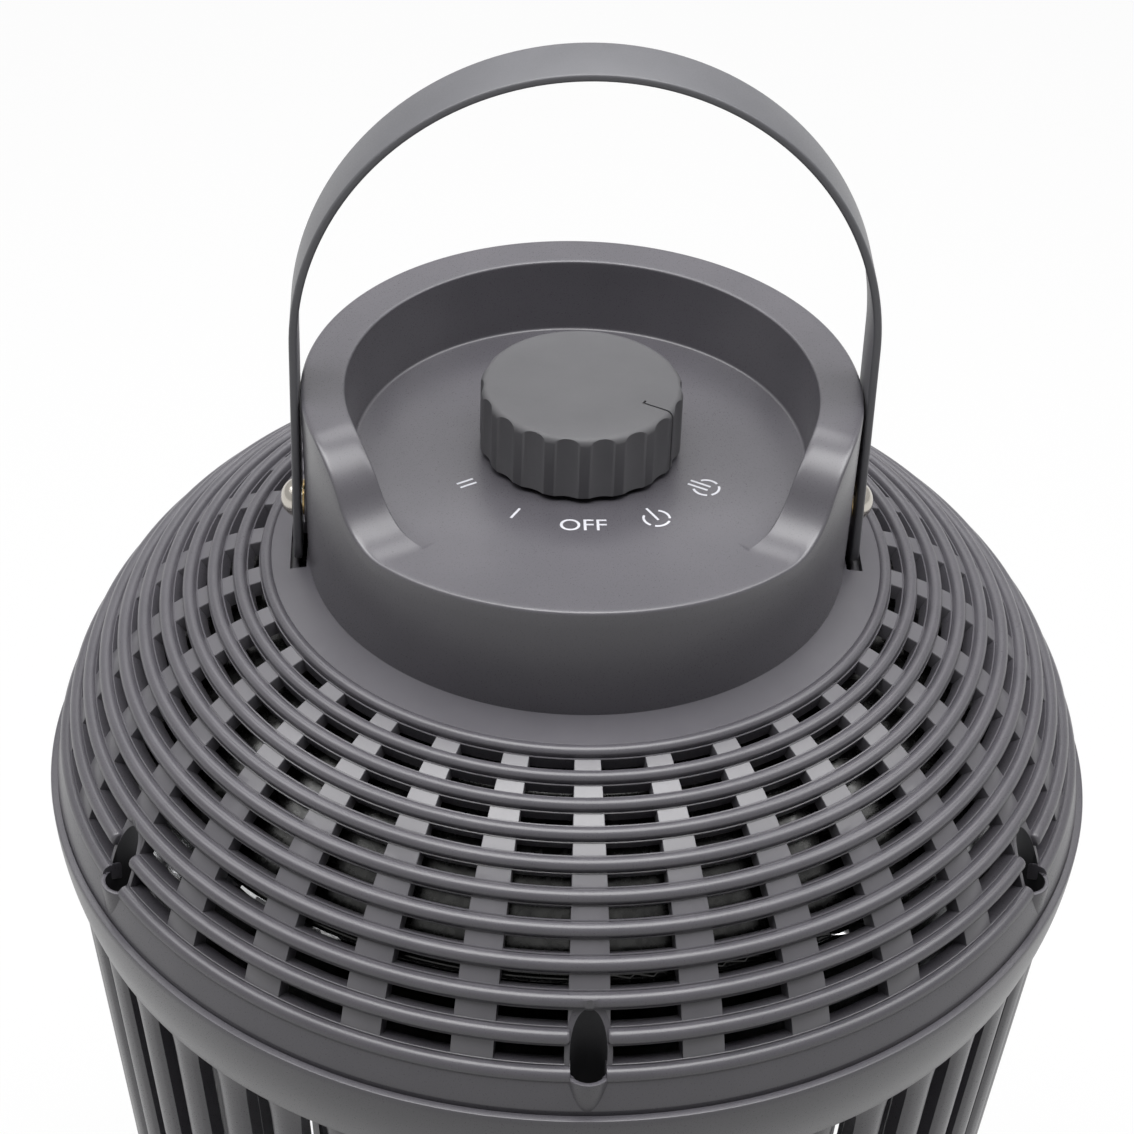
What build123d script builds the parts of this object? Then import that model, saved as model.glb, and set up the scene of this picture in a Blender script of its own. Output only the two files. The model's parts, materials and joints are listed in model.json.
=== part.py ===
from build123d import *
import os
from math import asin, atan, cos, degrees, radians, sin, sqrt

# Lantern patio heater, in millimetres.
# The origin is the centre of the footprint on the floor, +Z is up and the dial faces -Y.

# Shared clearances and walls
FRONT = 270.0               # azimuth of the dial side, counted from +X
drop_in_gap = 0.3           # around a piece that drops into another
overlap = 0.5               # by which two forms of one moulding run into each other
screw_gap = 0.1             # around a screw's shank
running_gap = 0.05          # around a turning pin or shaft
side_gap = 0.3              # beside the turning handle
wall = 2.5                  # wall of the head
sheet = 1.0                 # shield and reflectors

# Base
foot_height = 5.0
foot_radius = 9.0
foot_count = 4
foot_inset = 14.4           # the feet's axes inside the pan's edge
foot_draft = 6.0            # slope of the feet's sides
foot_edge = 0.8
pan_thickness = 3.0
pan_edge = 0.4
base_wall = 3.0
base_height = 37.0          # from the pan's underside to the seat of the cage
base_ledge = 0.8            # the base's top edge beyond the cage
base_flare = 7.6            # the base's foot beyond its top edge
base_bulge = 1.6            # rise of the flare's curve over a straight line

# Cage: a lower ring, upright bars and a band
cage_height = 259.1         # from the base to the band's lower edge
lower_ring_height = 12.0
band_height = 23.4
bar_count = 48
bar_width = 9.3
bar_depth = 6.5
bar_crown = 1.7             # rise of the bar's round outer face
bar_inset = 0.3             # the bars' crowns inside the faces of the ring and the band
bar_lean = 0.107            # outward per millimetre of height
ring_seat_depth = 2.6       # the lower ring's inner face behind the bars
band_seat_depth = 1.5       # the band's inner face behind the bars
band_flare = 4.7            # the band's upper edge beyond its lower edge
band_bulge = 0.9
band_lip = 1.6              # wall outside the dome's spigot
spigot_depth = 6.5

# Dome: rings and ribs on an arc
dome_overhang = 1.2         # the band's upper edge beyond the dome
parting_gap = 0.5
arc_radius = 78.95
arc_axis_radius = 61.5
arc_axis_drop = 8.9         # the arc's centre below the parting line
ring_count = 11
ring_first_angle = 75.25
ring_step = 5.48
ring_step_growth = 0.00056
ring_bar_width = 3.3
ring_proud = 2.2            # the round bars stand out of the ribs by this much
rib_count = 30
rib_angle = 4.5
rib_depth = 4.2
rib_run_in = 2.0            # degrees of the arc by which a rib runs into the shoulder
shoulder_sink = 0.7         # the shoulder below the lowest ring's crest
shoulder_thickness = 3.6
bulge_proud = 0.3           # the round bosses of the screw wells beyond the crests
bulge_top_angle = 45.0      # where the bosses end on the arc
spigot_wall = 3.0
well_count = 6
well_inset = 5.7            # the wells' axes inside the dome's edge
well_radius = 4.5
well_wall = 2.0
well_pocket_radius = 3.7
well_floor = 2.5
dome_screw_radius = 1.7
dome_screw_grip = 10.0
dome_screw_head_height = 3.0

# Deck under the head
deck_sink = 0.55            # the deck's edge below the highest ring
deck_edge_thickness = 2.7
deck_rise = 1.3
groove_width = 0.5
groove_inset = 1.2          # the groove inside the highest ring's crest
ledge_width = 9.0
ledge_thickness = 2.5
wire_hole_radius = 12.0
deck_screw_radius = 1.4
deck_screw_count = 6
deck_screw_inset = 6.0      # inside the highest ring's crest
deck_screw_bite = 1.9       # of the shank in the deck
deck_screw_hole = 2.2
deck_screw_head = 2.6
deck_screw_head_height = 1.8
slot_run_under = 0.2        # between the head's foot and the handle's slots
deck_crown_margin = 0.3     # the deck's flat middle beyond the head's foot

# Head
head_base_radius = 70.2
head_taper = 1.2            # the rim beyond the foot of the head
head_height = 50.2
panel_drop = 20.3           # the dial panel below the rim
rim_width = 11.3
bowl_taper = 1.7
shoulder_azimuth = 59.0     # middle of the rim's falling shoulders, from the front
shoulder_half_length = 16.5
head_boss_radius = 4.0
head_boss_circle = 50.0
head_boss_count = 4
head_screw_radius = 1.6
head_screw_head = 3.2
head_screw_grip = 11.0

# Handle and its pivots
pivot_rise = 15.0           # above the head's foot
handle_width = 16.5
handle_thickness = 2.1
handle_leg = 51.0           # straight leg above the pivot
handle_arch = 76.0
handle_end_drop = 17.7      # the leg's round end below the pivot
handle_end_flat = 0.05      # half of the flat that the round end leaves
spacer_thickness = 0.5
spacer_radius = 4.6
pivot_radius = 3.0
pivot_thread_radius = 2.0
pivot_head_radius = 4.9
pivot_head_height = 3.0
pivot_pad_radius = 6.5
pivot_pad_height = 0.25
pivot_nut_height = 3.2
nut_play = 0.12             # between the nut and the sloping wall
pivot_nut_flat = 3.5        # half the width across flats
pivot_tip = 1.0             # thread beyond the nut
crown_rise = 0.72           # a middle point of the screw head's crown, as shares of its
crown_reach = 0.62          # height and radius

# Knob and switch
knob_shift = 2.5            # behind the middle of the head
knob_radius = 25.9
knob_lift = 1.7             # above the panel
knob_height = 17.7
knob_edge = 1.8             # rounding of the top edge
knob_top_thickness = 3.5
knob_wall = 3.6
flute_count = 18
flute_depth = 0.9
flute_radius = 7.6
flute_azimuth = 10.0        # first flute from the front
pointer_azimuth = 60.0      # from the front, at rest
pointer_width = 1.0
pointer_depth = 0.6
pointer_start = 17.4
hub_radius = 6.0
shaft_radius = 3.0
bush_radius = 4.9
bush_height = 5.4           # above the panel
switch_size = 30.0
switch_height = 16.0
switch_nut_height = 2.4
switch_nut_wall = 2.2
shaft_chamfer = 0.5
blade_length = 6.0
blade_width = 4.8
blade_thickness = 0.8
blade_count = 4
blade_circle = 12.0
case_corner = 2.0

# Heat shield and reflectors
shield_gap = 3.6            # under the ribs
shield_edge_angle = 31.5
shield_hem_radius = 1.1
standoff_radius = 4.0
standoff_circle = 60.0
standoff_count = 4
shield_screw_bite = 2.2     # beyond the stand-offs, into the deck
reflector_flat_radius = 75.0
upper_reflector_drop = 59.0 # below the shield
upper_reflector_reach = 46.0
upper_reflector_fall = 9.0
lower_reflector_gap = 3.0   # inside the cage's lower ring
lower_reflector_lip = 9.0

# Lamps, tubes and rods
lamp_spacing = 80.0
lamp_count = 2
socket_radius = 9.0
socket_height = 24.0
cap_radius = 6.0
cap_length = 20.0
cap_grip = 13.0
glass_radius = 5.5
glass_wall = 1.0
filament_radius = 1.5
tube_radius = 10.0
tube_wall = 1.5
wire_radius = 1.3
wire_circle = 4.2
wire_count = 4
rod_radius = 2.5
rod_circle = 62.0
rod_count = 4
sleeve_wall = 1.4
nut_flat = 4.0              # half the width across flats
nut_height = 3.6
rod_tip = 1.0               # thread beyond the nut, under the plate
rod_upper_end = 3.5         # above the shield, under the deck

# Base fittings
cage_screw_radius = 1.8
cage_screw_grip = 9.0
cage_screw_head = 3.2
cage_screw_shift = 0.6      # outside the bars' inner faces
base_boss_radius = 4.5
base_boss_circle = 85.0
base_screw_radius = 1.7
base_screw_grip = 12.0
screw_head_height = 2.2
block_length = 36.0
block_width = 18.0
block_height = 16.0
block_poles = 4
block_hole_radius = 2.2
block_hole_height = 8.8
tilt_size = 20.0
tilt_depth = 16.0
tilt_offset = 43.4
cutout_radius = 8.0
cutout_height = 8.0
cutout_offset = 37.2
cutout_flange_length = 20.8
cutout_flange_width = 7.2
inlet_radius = 6.0
inlet_height = 17.0         # above the pan's underside
inlet_flange = 2.5
inlet_flange_radius = 8.7
inlet_bore = 3.6
inlet_boss_radius = 11.0
inlet_boss_proud = 0.5

# Heights that follow
pan_top = foot_height + pan_thickness
base_top = foot_height + base_height
plate_bottom = base_top - base_wall
band_bottom = base_top + cage_height
parting_height = band_bottom + band_height
spigot_bottom = parting_height - spigot_depth
arc_axis_height = parting_height - arc_axis_drop
dome_bottom = parting_height + parting_gap

# Radii that follow
dome_edge_radius = arc_axis_radius + sqrt(arc_radius**2 - (dome_bottom - arc_axis_height) ** 2)
band_top_radius = dome_edge_radius + dome_overhang
band_bottom_radius = band_top_radius - band_flare
band_inner_radius = band_bottom_radius - bar_depth - band_seat_depth
spigot_radius = band_top_radius - band_lip - drop_in_gap
well_circle = dome_edge_radius - well_inset


def bar_radius(height):
    """Distance of the bars' outer faces from the Z axis at a height."""
    return band_bottom_radius - bar_lean * (band_bottom - height)


def arc_point(angle, radius):
    """A point of the dome's section: distance from the Z axis, and height."""
    across = arc_axis_radius + radius * cos(radians(angle))
    up = arc_axis_height + radius * sin(radians(angle))
    return across, up


def ring_angle(index):
    """Elevation of a ring on the arc; the rings spread a little towards the edge."""
    return ring_first_angle - ring_step * index - ring_step_growth * index**4


def radial_plane(azimuth):
    """The upright plane through the Z axis whose x runs outward at this azimuth."""
    turn = radians(azimuth)
    return Plane(origin=(0, 0, 0), x_dir=(cos(turn), sin(turn), 0), z_dir=(sin(turn), -cos(turn), 0))


def screw(shank_radius, shank_length, head_radius, head_height):
    """A pan-head screw: the head stands on z = 0 and the shank hangs below it."""
    slot_width = shank_radius * 0.6
    slot_depth = head_height * 0.4
    edge = head_height * 0.4
    with BuildPart() as body:
        Cylinder(shank_radius, shank_length, align=(Align.CENTER, Align.CENTER, Align.MAX))
        Cylinder(head_radius, head_height, align=(Align.CENTER, Align.CENTER, Align.MIN))
        fillet(body.edges().group_by(Axis.Z)[-1], radius=edge)
        with Locations((0, 0, head_height)):
            Box(head_radius, slot_width, 2 * slot_depth, mode=Mode.SUBTRACT)
            Box(slot_width, head_radius, 2 * slot_depth, mode=Mode.SUBTRACT)
    return body.part


def hex_nut(half_flat, height, bore):
    """A hexagon nut that stands on z = 0."""
    with BuildPart() as body:
        with BuildSketch():
            RegularPolygon(radius=half_flat, side_count=6, major_radius=False)
            Circle(bore, mode=Mode.SUBTRACT)
        extrude(amount=height)
    return body.part


upside_down = (180, 0, 0)
lower_ring_top = base_top + lower_ring_height
lower_ring_inner = bar_radius(base_top) - bar_depth - ring_seat_depth
base_top_radius = bar_radius(base_top) + base_ledge
base_foot_radius = base_top_radius + base_flare

# Base body: a round flared shell with the plate that carries everything else
cage_screw_circle = bar_radius(base_top) - bar_depth + cage_screw_shift
rod_start = FRONT + 45.0
inlet_level = foot_height + inlet_height
inlet_seat = base_foot_radius + inlet_boss_proud
with BuildPart() as base_body:
    with BuildSketch(Plane.XZ):
        with BuildLine():
            flare = ThreePointArc(
                (base_foot_radius, foot_height),
                (
                    (base_foot_radius + base_top_radius) / 2 + base_bulge,
                    (foot_height + base_top) / 2,
                ),
                (base_top_radius, base_top),
            )
            Polyline(flare @ 1, (0, base_top), (0, foot_height), flare @ 0)
        make_face()
    revolve(axis=Axis.Z)
    with BuildSketch(Plane.XZ.offset(-inlet_seat)):
        with Locations((0, inlet_level)):
            Circle(inlet_boss_radius)
    extrude(amount=base_wall * 2 + base_flare)
    with BuildSketch(Plane.XZ):
        with BuildLine():
            cavity = ThreePointArc(
                (base_foot_radius - base_wall, foot_height),
                (
                    (base_foot_radius + base_top_radius) / 2 + base_bulge - base_wall,
                    (foot_height + base_top) / 2,
                ),
                (base_top_radius - base_wall, plate_bottom),
            )
            Polyline(cavity @ 1, (0, plate_bottom), (0, foot_height), cavity @ 0)
        make_face()
    revolve(axis=Axis.Z, mode=Mode.SUBTRACT)
    with BuildSketch(Plane.XY.offset(pan_top)):
        with PolarLocations(base_boss_circle, well_count, start_angle=FRONT):
            Circle(base_boss_radius)
    extrude(until=Until.NEXT)
    with BuildSketch(Plane.XY.offset(pan_top)):
        with PolarLocations(base_boss_circle, well_count, start_angle=FRONT):
            Circle(base_screw_radius + screw_gap)
    extrude(amount=base_height / 2, mode=Mode.SUBTRACT)
    with BuildSketch(Plane.XY.offset(plate_bottom)):
        Circle(tube_radius - tube_wall)
        with PolarLocations(rod_circle, rod_count, start_angle=rod_start):
            Circle(rod_radius + screw_gap)
        with PolarLocations(cage_screw_circle, well_count, start_angle=FRONT):
            Circle(cage_screw_radius + screw_gap)
    extrude(amount=base_wall, mode=Mode.SUBTRACT)
    with BuildSketch(Plane.XZ.offset(-inlet_seat)):
        with Locations((0, inlet_level)):
            Circle(inlet_radius + screw_gap)
    extrude(amount=base_wall * 2 + base_flare, mode=Mode.SUBTRACT)
base_body.part.label = "base_body"

# Base pan: the round plate that closes the base from below
pan_radius = base_foot_radius - base_wall - drop_in_gap
with BuildPart() as base_pan:
    with BuildSketch(Plane.XY.offset(foot_height)):
        Circle(pan_radius)
        with PolarLocations(base_boss_circle, well_count, start_angle=FRONT):
            Circle(base_screw_radius + screw_gap, mode=Mode.SUBTRACT)
    extrude(amount=pan_thickness)
    fillet(base_pan.edges().filter_by(GeomType.CIRCLE).group_by(SortBy.RADIUS)[-1], radius=pan_edge)
base_pan.part.label = "base_pan"

with BuildPart() as base_screws:
    with Locations(Location((0, 0, foot_height), upside_down)):
        with PolarLocations(base_boss_circle, well_count, start_angle=FRONT):
            add(
                screw(
                    base_screw_radius,
                    pan_thickness + base_screw_grip,
                    base_screw_radius * 2,
                    screw_head_height,
                )
            )
base_screws.part.label = "base_screws"

# Rubber feet under the pan
foot_circle = pan_radius - foot_inset
with BuildPart() as rubber_feet:
    with BuildSketch():
        with PolarLocations(foot_circle, foot_count, start_angle=rod_start):
            Circle(foot_radius)
    extrude(amount=foot_height, taper=-foot_draft)
    fillet(rubber_feet.edges().group_by(Axis.Z)[0], radius=foot_edge)
rubber_feet.part.label = "rubber_feet"

# Electrical parts on the pan and under the plate
with BuildPart() as terminal_block:
    with Locations((0, 0, pan_top)):
        Box(block_length, block_width, block_height, align=(Align.CENTER, Align.CENTER, Align.MIN))
    with BuildSketch(Plane.XZ.offset(block_width / 2)):
        with Locations((0, pan_top + block_hole_height)):
            with GridLocations(block_length / block_poles, 1, block_poles, 1):
                Circle(block_hole_radius)
    extrude(amount=-block_width / 4, mode=Mode.SUBTRACT)
terminal_block.part.label = "terminal_block"

with BuildPart() as tilt_switch:
    with Locations((tilt_offset, block_width, pan_top)):
        Box(tilt_size, tilt_depth, tilt_size, align=(Align.CENTER, Align.MIN, Align.MIN))
    fillet(tilt_switch.edges().filter_by(Axis.Z), radius=case_corner)
tilt_switch.part.label = "tilt_switch"

with BuildPart() as thermal_cutout:
    with BuildSketch(Plane.XY.offset(plate_bottom)):
        with Locations((-cutout_offset, 0)):
            SlotCenterToCenter(cutout_flange_length, cutout_flange_width)
    extrude(amount=-sheet)
    with BuildSketch(Plane.XY.offset(plate_bottom)):
        with Locations((-cutout_offset, 0)):
            Circle(cutout_radius)
    extrude(amount=-cutout_height)
thermal_cutout.part.label = "thermal_cutout"

# Cable inlet bush in the back of the base
with BuildPart() as inlet_bush:
    with BuildSketch(Plane.XZ.offset(-inlet_seat)):
        with Locations((0, inlet_level)):
            Circle(inlet_flange_radius)
    extrude(amount=-inlet_flange)
    fillet(inlet_bush.edges().group_by(Axis.Y)[-1], radius=inlet_flange * 0.5)
    with BuildSketch(Plane.XZ.offset(-inlet_seat)):
        with Locations((0, inlet_level)):
            Circle(inlet_radius)
    extrude(amount=base_wall * 2)
    with BuildSketch(Plane.XZ.offset(-inlet_seat - inlet_flange)):
        with Locations((0, inlet_level)):
            Circle(inlet_bore)
    extrude(amount=base_wall * 2 + inlet_flange, mode=Mode.SUBTRACT)
inlet_bush.part.label = "inlet_bush"

# Cage: bars that lean outward between the lower ring and the band, in one moulding
lean_angle = atan(bar_lean)
bar_start = base_top + lower_ring_height / 2
bar_end = (band_bottom + spigot_bottom) / 2
bar_plane = Plane(
    origin=(bar_radius(bar_start) - bar_inset, 0, bar_start),
    x_dir=(0, 1, 0),
    z_dir=(sin(lean_angle), 0, cos(lean_angle)),
)
with BuildPart() as cage_bar:
    with BuildSketch(bar_plane):
        with BuildLine():
            crown = ThreePointArc((-bar_width / 2, bar_crown), (0, 0), (bar_width / 2, bar_crown))
            Polyline(crown @ 1, (bar_width / 2, bar_depth), (-bar_width / 2, bar_depth), crown @ 0)
        make_face()
    extrude(amount=(bar_end - bar_start) / cos(lean_angle))

band_middle_radius = (band_bottom_radius + band_top_radius) / 2 + band_bulge
with BuildPart() as guard_cage:
    with BuildSketch(Plane.XZ):
        with BuildLine():
            swell = ThreePointArc(
                (band_bottom_radius, band_bottom),
                (band_middle_radius, (band_bottom + parting_height) / 2),
                (band_top_radius, parting_height),
            )
            Polyline(
                swell @ 1,
                (band_top_radius - band_lip, parting_height),
                (band_top_radius - band_lip, spigot_bottom),
                (band_inner_radius, spigot_bottom),
                (band_inner_radius, band_bottom),
                swell @ 0,
            )
        make_face()
        Polygon(
            (lower_ring_inner, base_top),
            (bar_radius(base_top), base_top),
            (bar_radius(lower_ring_top), lower_ring_top),
            (lower_ring_inner, lower_ring_top),
            align=None,
        )
    revolve(axis=Axis.Z)
    with PolarLocations(0, bar_count, start_angle=FRONT):
        add(cage_bar.part)
    with BuildSketch(Plane.XY.offset(spigot_bottom)):
        with PolarLocations(well_circle, well_count, start_angle=FRONT):
            Circle(dome_screw_radius + screw_gap)
    extrude(amount=-(dome_screw_grip - well_floor + 1), mode=Mode.SUBTRACT)
    with BuildSketch(Plane.XY.offset(base_top)):
        with PolarLocations(cage_screw_circle, well_count, start_angle=FRONT):
            Circle(cage_screw_radius + screw_gap)
    extrude(amount=cage_screw_grip + 1, mode=Mode.SUBTRACT)
guard_cage.part.label = "guard_cage"

with BuildPart() as cage_screws:
    with Locations(Location((0, 0, plate_bottom), upside_down)):
        with PolarLocations(cage_screw_circle, well_count, start_angle=FRONT):
            add(
                screw(
                    cage_screw_radius,
                    base_wall + cage_screw_grip,
                    cage_screw_head,
                    screw_head_height,
                )
            )
cage_screws.part.label = "cage_screws"

# Dome: round bars on flat strips, carried by ribs, in one moulding with the shoulder
rib_top = arc_radius - ring_proud
rib_underside = rib_top - rib_depth
shoulder_angle = ring_angle(ring_count - 1)
shoulder_skin = arc_radius - shoulder_sink
edge_angle = degrees(asin((dome_bottom - arc_axis_height) / shoulder_skin))
inner_edge_angle = degrees(
    asin((dome_bottom - arc_axis_height) / (shoulder_skin - shoulder_thickness))
)
highest_ring = arc_point(ring_angle(0), arc_radius)
deck_edge_top = highest_ring[1] - deck_sink
deck_bottom = deck_edge_top - deck_edge_thickness
groove_radius = highest_ring[0] - groove_inset
deck_radius = groove_radius - groove_width

with BuildPart() as dome_rib:
    with BuildSketch(radial_plane(-rib_angle / 2)):
        with BuildLine():
            outer = CenterArc(
                (arc_axis_radius, arc_axis_height),
                rib_top,
                shoulder_angle - rib_run_in,
                ring_first_angle - shoulder_angle + rib_run_in,
            )
            inner = CenterArc(
                (arc_axis_radius, arc_axis_height),
                rib_underside,
                shoulder_angle - rib_run_in,
                ring_first_angle - shoulder_angle + rib_run_in,
            )
            Line(outer @ 0, inner @ 0)
            Line(outer @ 1, inner @ 1)
        make_face()
    revolve(axis=Axis.Z, revolution_arc=rib_angle)

bulge_radius = arc_radius + bulge_proud
bulge_angle = degrees(asin((dome_bottom - arc_axis_height) / bulge_radius))
with BuildPart() as well_tower:
    with BuildSketch(Plane.XZ):
        with BuildLine():
            bulge = CenterArc(
                (arc_axis_radius, arc_axis_height),
                bulge_radius,
                bulge_angle,
                bulge_top_angle - bulge_angle,
            )
            Polyline(
                bulge @ 1,
                (rib_underside, (bulge @ 1).Y),
                (rib_underside, spigot_bottom),
                (spigot_radius, spigot_bottom),
                (spigot_radius, dome_bottom),
                bulge @ 0,
            )
        make_face()
    revolve(axis=Axis.Z)
    with BuildSketch(Plane.XY.offset(spigot_bottom)):
        with PolarLocations(well_circle, well_count, start_angle=FRONT):
            Circle(well_radius + well_wall)
    extrude(amount=arc_radius, mode=Mode.INTERSECT)

deck_screw_circle = highest_ring[0] - deck_screw_inset
with BuildPart() as dome_holes:
    with BuildSketch(Plane.XY.offset(deck_bottom)):
        Circle(groove_radius)
    extrude(amount=deck_edge_thickness * 2)
    with BuildSketch(Plane.XY.offset(dome_bottom + well_floor)):
        with PolarLocations(well_circle, well_count, start_angle=FRONT):
            Circle(well_radius)
    extrude(amount=ring_step * 4)
    with BuildSketch(Plane.XY.offset(spigot_bottom + well_floor)):
        with PolarLocations(well_circle, well_count, start_angle=FRONT):
            Circle(well_pocket_radius)
    extrude(amount=spigot_depth)
    with BuildSketch(Plane.XY.offset(spigot_bottom)):
        with PolarLocations(well_circle, well_count, start_angle=FRONT):
            Circle(dome_screw_radius + screw_gap)
    extrude(amount=well_floor + overlap)
    with BuildSketch(Plane.XY.offset(deck_bottom - ledge_thickness)):
        with PolarLocations(deck_screw_circle, deck_screw_count, start_angle=FRONT):
            Circle(deck_screw_radius + screw_gap)
    extrude(amount=ledge_thickness + overlap)

with BuildPart() as dome_grille:
    with BuildSketch(Plane.XZ):
        for index in range(ring_count):
            angle = ring_angle(index)
            crest_depth = ring_bar_width / 2
            side_depth = ring_proud + rib_depth - crest_depth
            with Locations(arc_point(angle, arc_radius - crest_depth)):
                Circle(crest_depth)
            with Locations(arc_point(angle, arc_radius - crest_depth - side_depth / 2)):
                Rectangle(side_depth, ring_bar_width, rotation=angle)
        with Locations((highest_ring[0] - ledge_width / 2, deck_bottom - ledge_thickness / 2)):
            Rectangle(ledge_width, ledge_thickness)
        with BuildLine():
            skin = CenterArc(
                (arc_axis_radius, arc_axis_height),
                shoulder_skin,
                edge_angle,
                shoulder_angle - edge_angle,
            )
            lining = CenterArc(
                (arc_axis_radius, arc_axis_height),
                shoulder_skin - shoulder_thickness,
                inner_edge_angle,
                shoulder_angle - inner_edge_angle,
            )
            Line(skin @ 0, lining @ 0)
            Line(skin @ 1, lining @ 1)
        make_face()
        with Locations((spigot_radius - spigot_wall / 2, spigot_bottom + spigot_depth / 2 + overlap)):
            Rectangle(spigot_wall, spigot_depth + parting_gap + overlap)
    revolve(axis=Axis.Z)
    with PolarLocations(0, rib_count, start_angle=FRONT):
        add(dome_rib.part)
    add(well_tower.part)
    add(dome_holes.part, mode=Mode.SUBTRACT)
dome_grille.part.label = "dome_grille"

with BuildPart() as dome_screws:
    with Locations((0, 0, spigot_bottom + well_floor)):
        with PolarLocations(well_circle, well_count, start_angle=FRONT):
            add(
                screw(
                    dome_screw_radius,
                    dome_screw_grip,
                    well_pocket_radius - drop_in_gap,
                    dome_screw_head_height,
                )
            )
dome_screws.part.label = "dome_screws"

# Deck: the round plate inside the highest ring, with a slot for each end of the handle
deck_top = deck_edge_top + deck_rise
pivot_height = deck_top + pivot_rise
head_pivot_radius = head_base_radius + head_taper * pivot_rise / head_height
pad_reach = head_pivot_radius + pivot_pad_height
handle_inner = pad_reach + spacer_thickness + side_gap
handle_outer = handle_inner + handle_thickness
slot_start = head_base_radius + slot_run_under
slot_end = handle_outer + 3 * side_gap
slot_half = sqrt(handle_end_drop**2 - pivot_rise**2) + 2 * side_gap
with BuildPart() as top_deck:
    with BuildSketch(Plane.XZ):
        Polygon(
            (wire_hole_radius, deck_bottom),
            (deck_radius, deck_bottom),
            (deck_radius, deck_edge_top),
            (head_base_radius + deck_crown_margin, deck_top),
            (wire_hole_radius, deck_top),
            align=None,
        )
    revolve(axis=Axis.Z)
    with BuildSketch(Plane.XY.offset(deck_bottom)):
        for side in (-1, 1):
            with Locations((side * (slot_start + slot_end) / 2, 0)):
                Rectangle(slot_end - slot_start, 2 * slot_half)
        with PolarLocations(head_boss_circle, head_boss_count, start_angle=rod_start):
            Circle(head_screw_radius + screw_gap)
        with PolarLocations(standoff_circle, standoff_count, start_angle=FRONT):
            Circle(head_screw_radius + screw_gap)
    extrude(amount=deck_edge_thickness + deck_rise, mode=Mode.SUBTRACT)
    with BuildSketch(Plane.XY.offset(deck_bottom)):
        with PolarLocations(deck_screw_circle, deck_screw_count, start_angle=FRONT):
            Circle(deck_screw_radius + screw_gap)
    extrude(amount=deck_screw_hole, mode=Mode.SUBTRACT)
top_deck.part.label = "top_deck"

with BuildPart() as deck_screws:
    with Locations(Location((0, 0, deck_bottom - ledge_thickness), upside_down)):
        with PolarLocations(deck_screw_circle, deck_screw_count, start_angle=FRONT):
            add(
                screw(
                    deck_screw_radius,
                    ledge_thickness + deck_screw_bite,
                    deck_screw_head,
                    deck_screw_head_height,
                )
            )
deck_screws.part.label = "deck_screws"

# Head: a round shell whose rim falls to the dial panel over two S-shaped shoulders
head_top = deck_top + head_height
panel_height = head_top - panel_drop
bowl_top_radius = head_base_radius + head_taper - rim_width
bowl_floor_radius = bowl_top_radius - bowl_taper
shoulder_turn = 2 * degrees(atan(panel_drop / 2 / shoulder_half_length))
shoulder_radius = shoulder_half_length / sin(radians(shoulder_turn))


def head_form(inset):
    """The head as a solid with its bowl and its low front, drawn in by inset all round."""
    floor = panel_height - inset
    rim = head_top - inset
    above = head_top + wall
    with BuildPart() as form:
        with BuildSketch(Plane.XZ):
            Polygon(
                (0, deck_top),
                (head_base_radius - inset, deck_top),
                (head_base_radius + head_taper - inset, rim),
                (0, rim),
                align=None,
            )
        revolve(axis=Axis.Z)
        with BuildSketch(Plane.XZ):
            Polygon(
                (0, floor),
                (bowl_floor_radius + inset, floor),
                (bowl_top_radius + inset, above),
                (0, above),
                align=None,
            )
        revolve(axis=Axis.Z, mode=Mode.SUBTRACT)
        for side in (-1, 1):
            turn = radians(shoulder_azimuth)
            along = (side * cos(turn), sin(turn), 0)
            across = (sin(turn), -side * cos(turn), 0)
            with BuildSketch(Plane(origin=(0, 0, 0), x_dir=along, z_dir=across)):
                with BuildLine():
                    rise = CenterArc(
                        (-shoulder_half_length, panel_height + shoulder_radius),
                        shoulder_radius + inset,
                        -90,
                        shoulder_turn,
                    )
                    crest = CenterArc(
                        (shoulder_half_length, head_top - shoulder_radius),
                        shoulder_radius - inset,
                        90 + shoulder_turn,
                        -shoulder_turn,
                    )
                    Polyline(
                        crest @ 1,
                        (shoulder_half_length, above),
                        (-2 * head_base_radius, above),
                        (-2 * head_base_radius, floor),
                        rise @ 0,
                    )
                make_face()
            extrude(amount=side * (head_base_radius + rim_width), mode=Mode.SUBTRACT)
    return form.part


head_outer = head_form(0)
head_inner = head_form(wall)
with BuildPart() as control_housing:
    add(head_outer)
    add(head_inner, mode=Mode.SUBTRACT)
    with BuildSketch(Plane.XY.offset(deck_top)):
        with PolarLocations(head_boss_circle, head_boss_count, start_angle=rod_start):
            Circle(head_boss_radius)
    extrude(amount=head_height - panel_drop - wall / 2)
    with BuildSketch(Plane.XY.offset(deck_top)):
        with PolarLocations(head_boss_circle, head_boss_count, start_angle=rod_start):
            Circle(head_screw_radius + screw_gap)
    extrude(amount=(head_height - panel_drop) / 2, mode=Mode.SUBTRACT)
    with BuildSketch(Plane.XY.offset(panel_height - wall)):
        with Locations((0, knob_shift)):
            Circle(bush_radius + screw_gap)
    extrude(amount=wall, mode=Mode.SUBTRACT)
    for side in (-1, 1):
        with BuildSketch(Plane.YZ.offset(side * pad_reach)):
            with Locations((0, pivot_height)):
                Circle(pivot_pad_radius)
        extrude(amount=-side * wall)
        with BuildSketch(Plane.YZ.offset(side * pad_reach)):
            with Locations((0, pivot_height)):
                Circle(pivot_thread_radius + screw_gap)
        extrude(amount=-side * wall * 2, mode=Mode.SUBTRACT)
control_housing.part.label = "control_housing"

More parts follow.
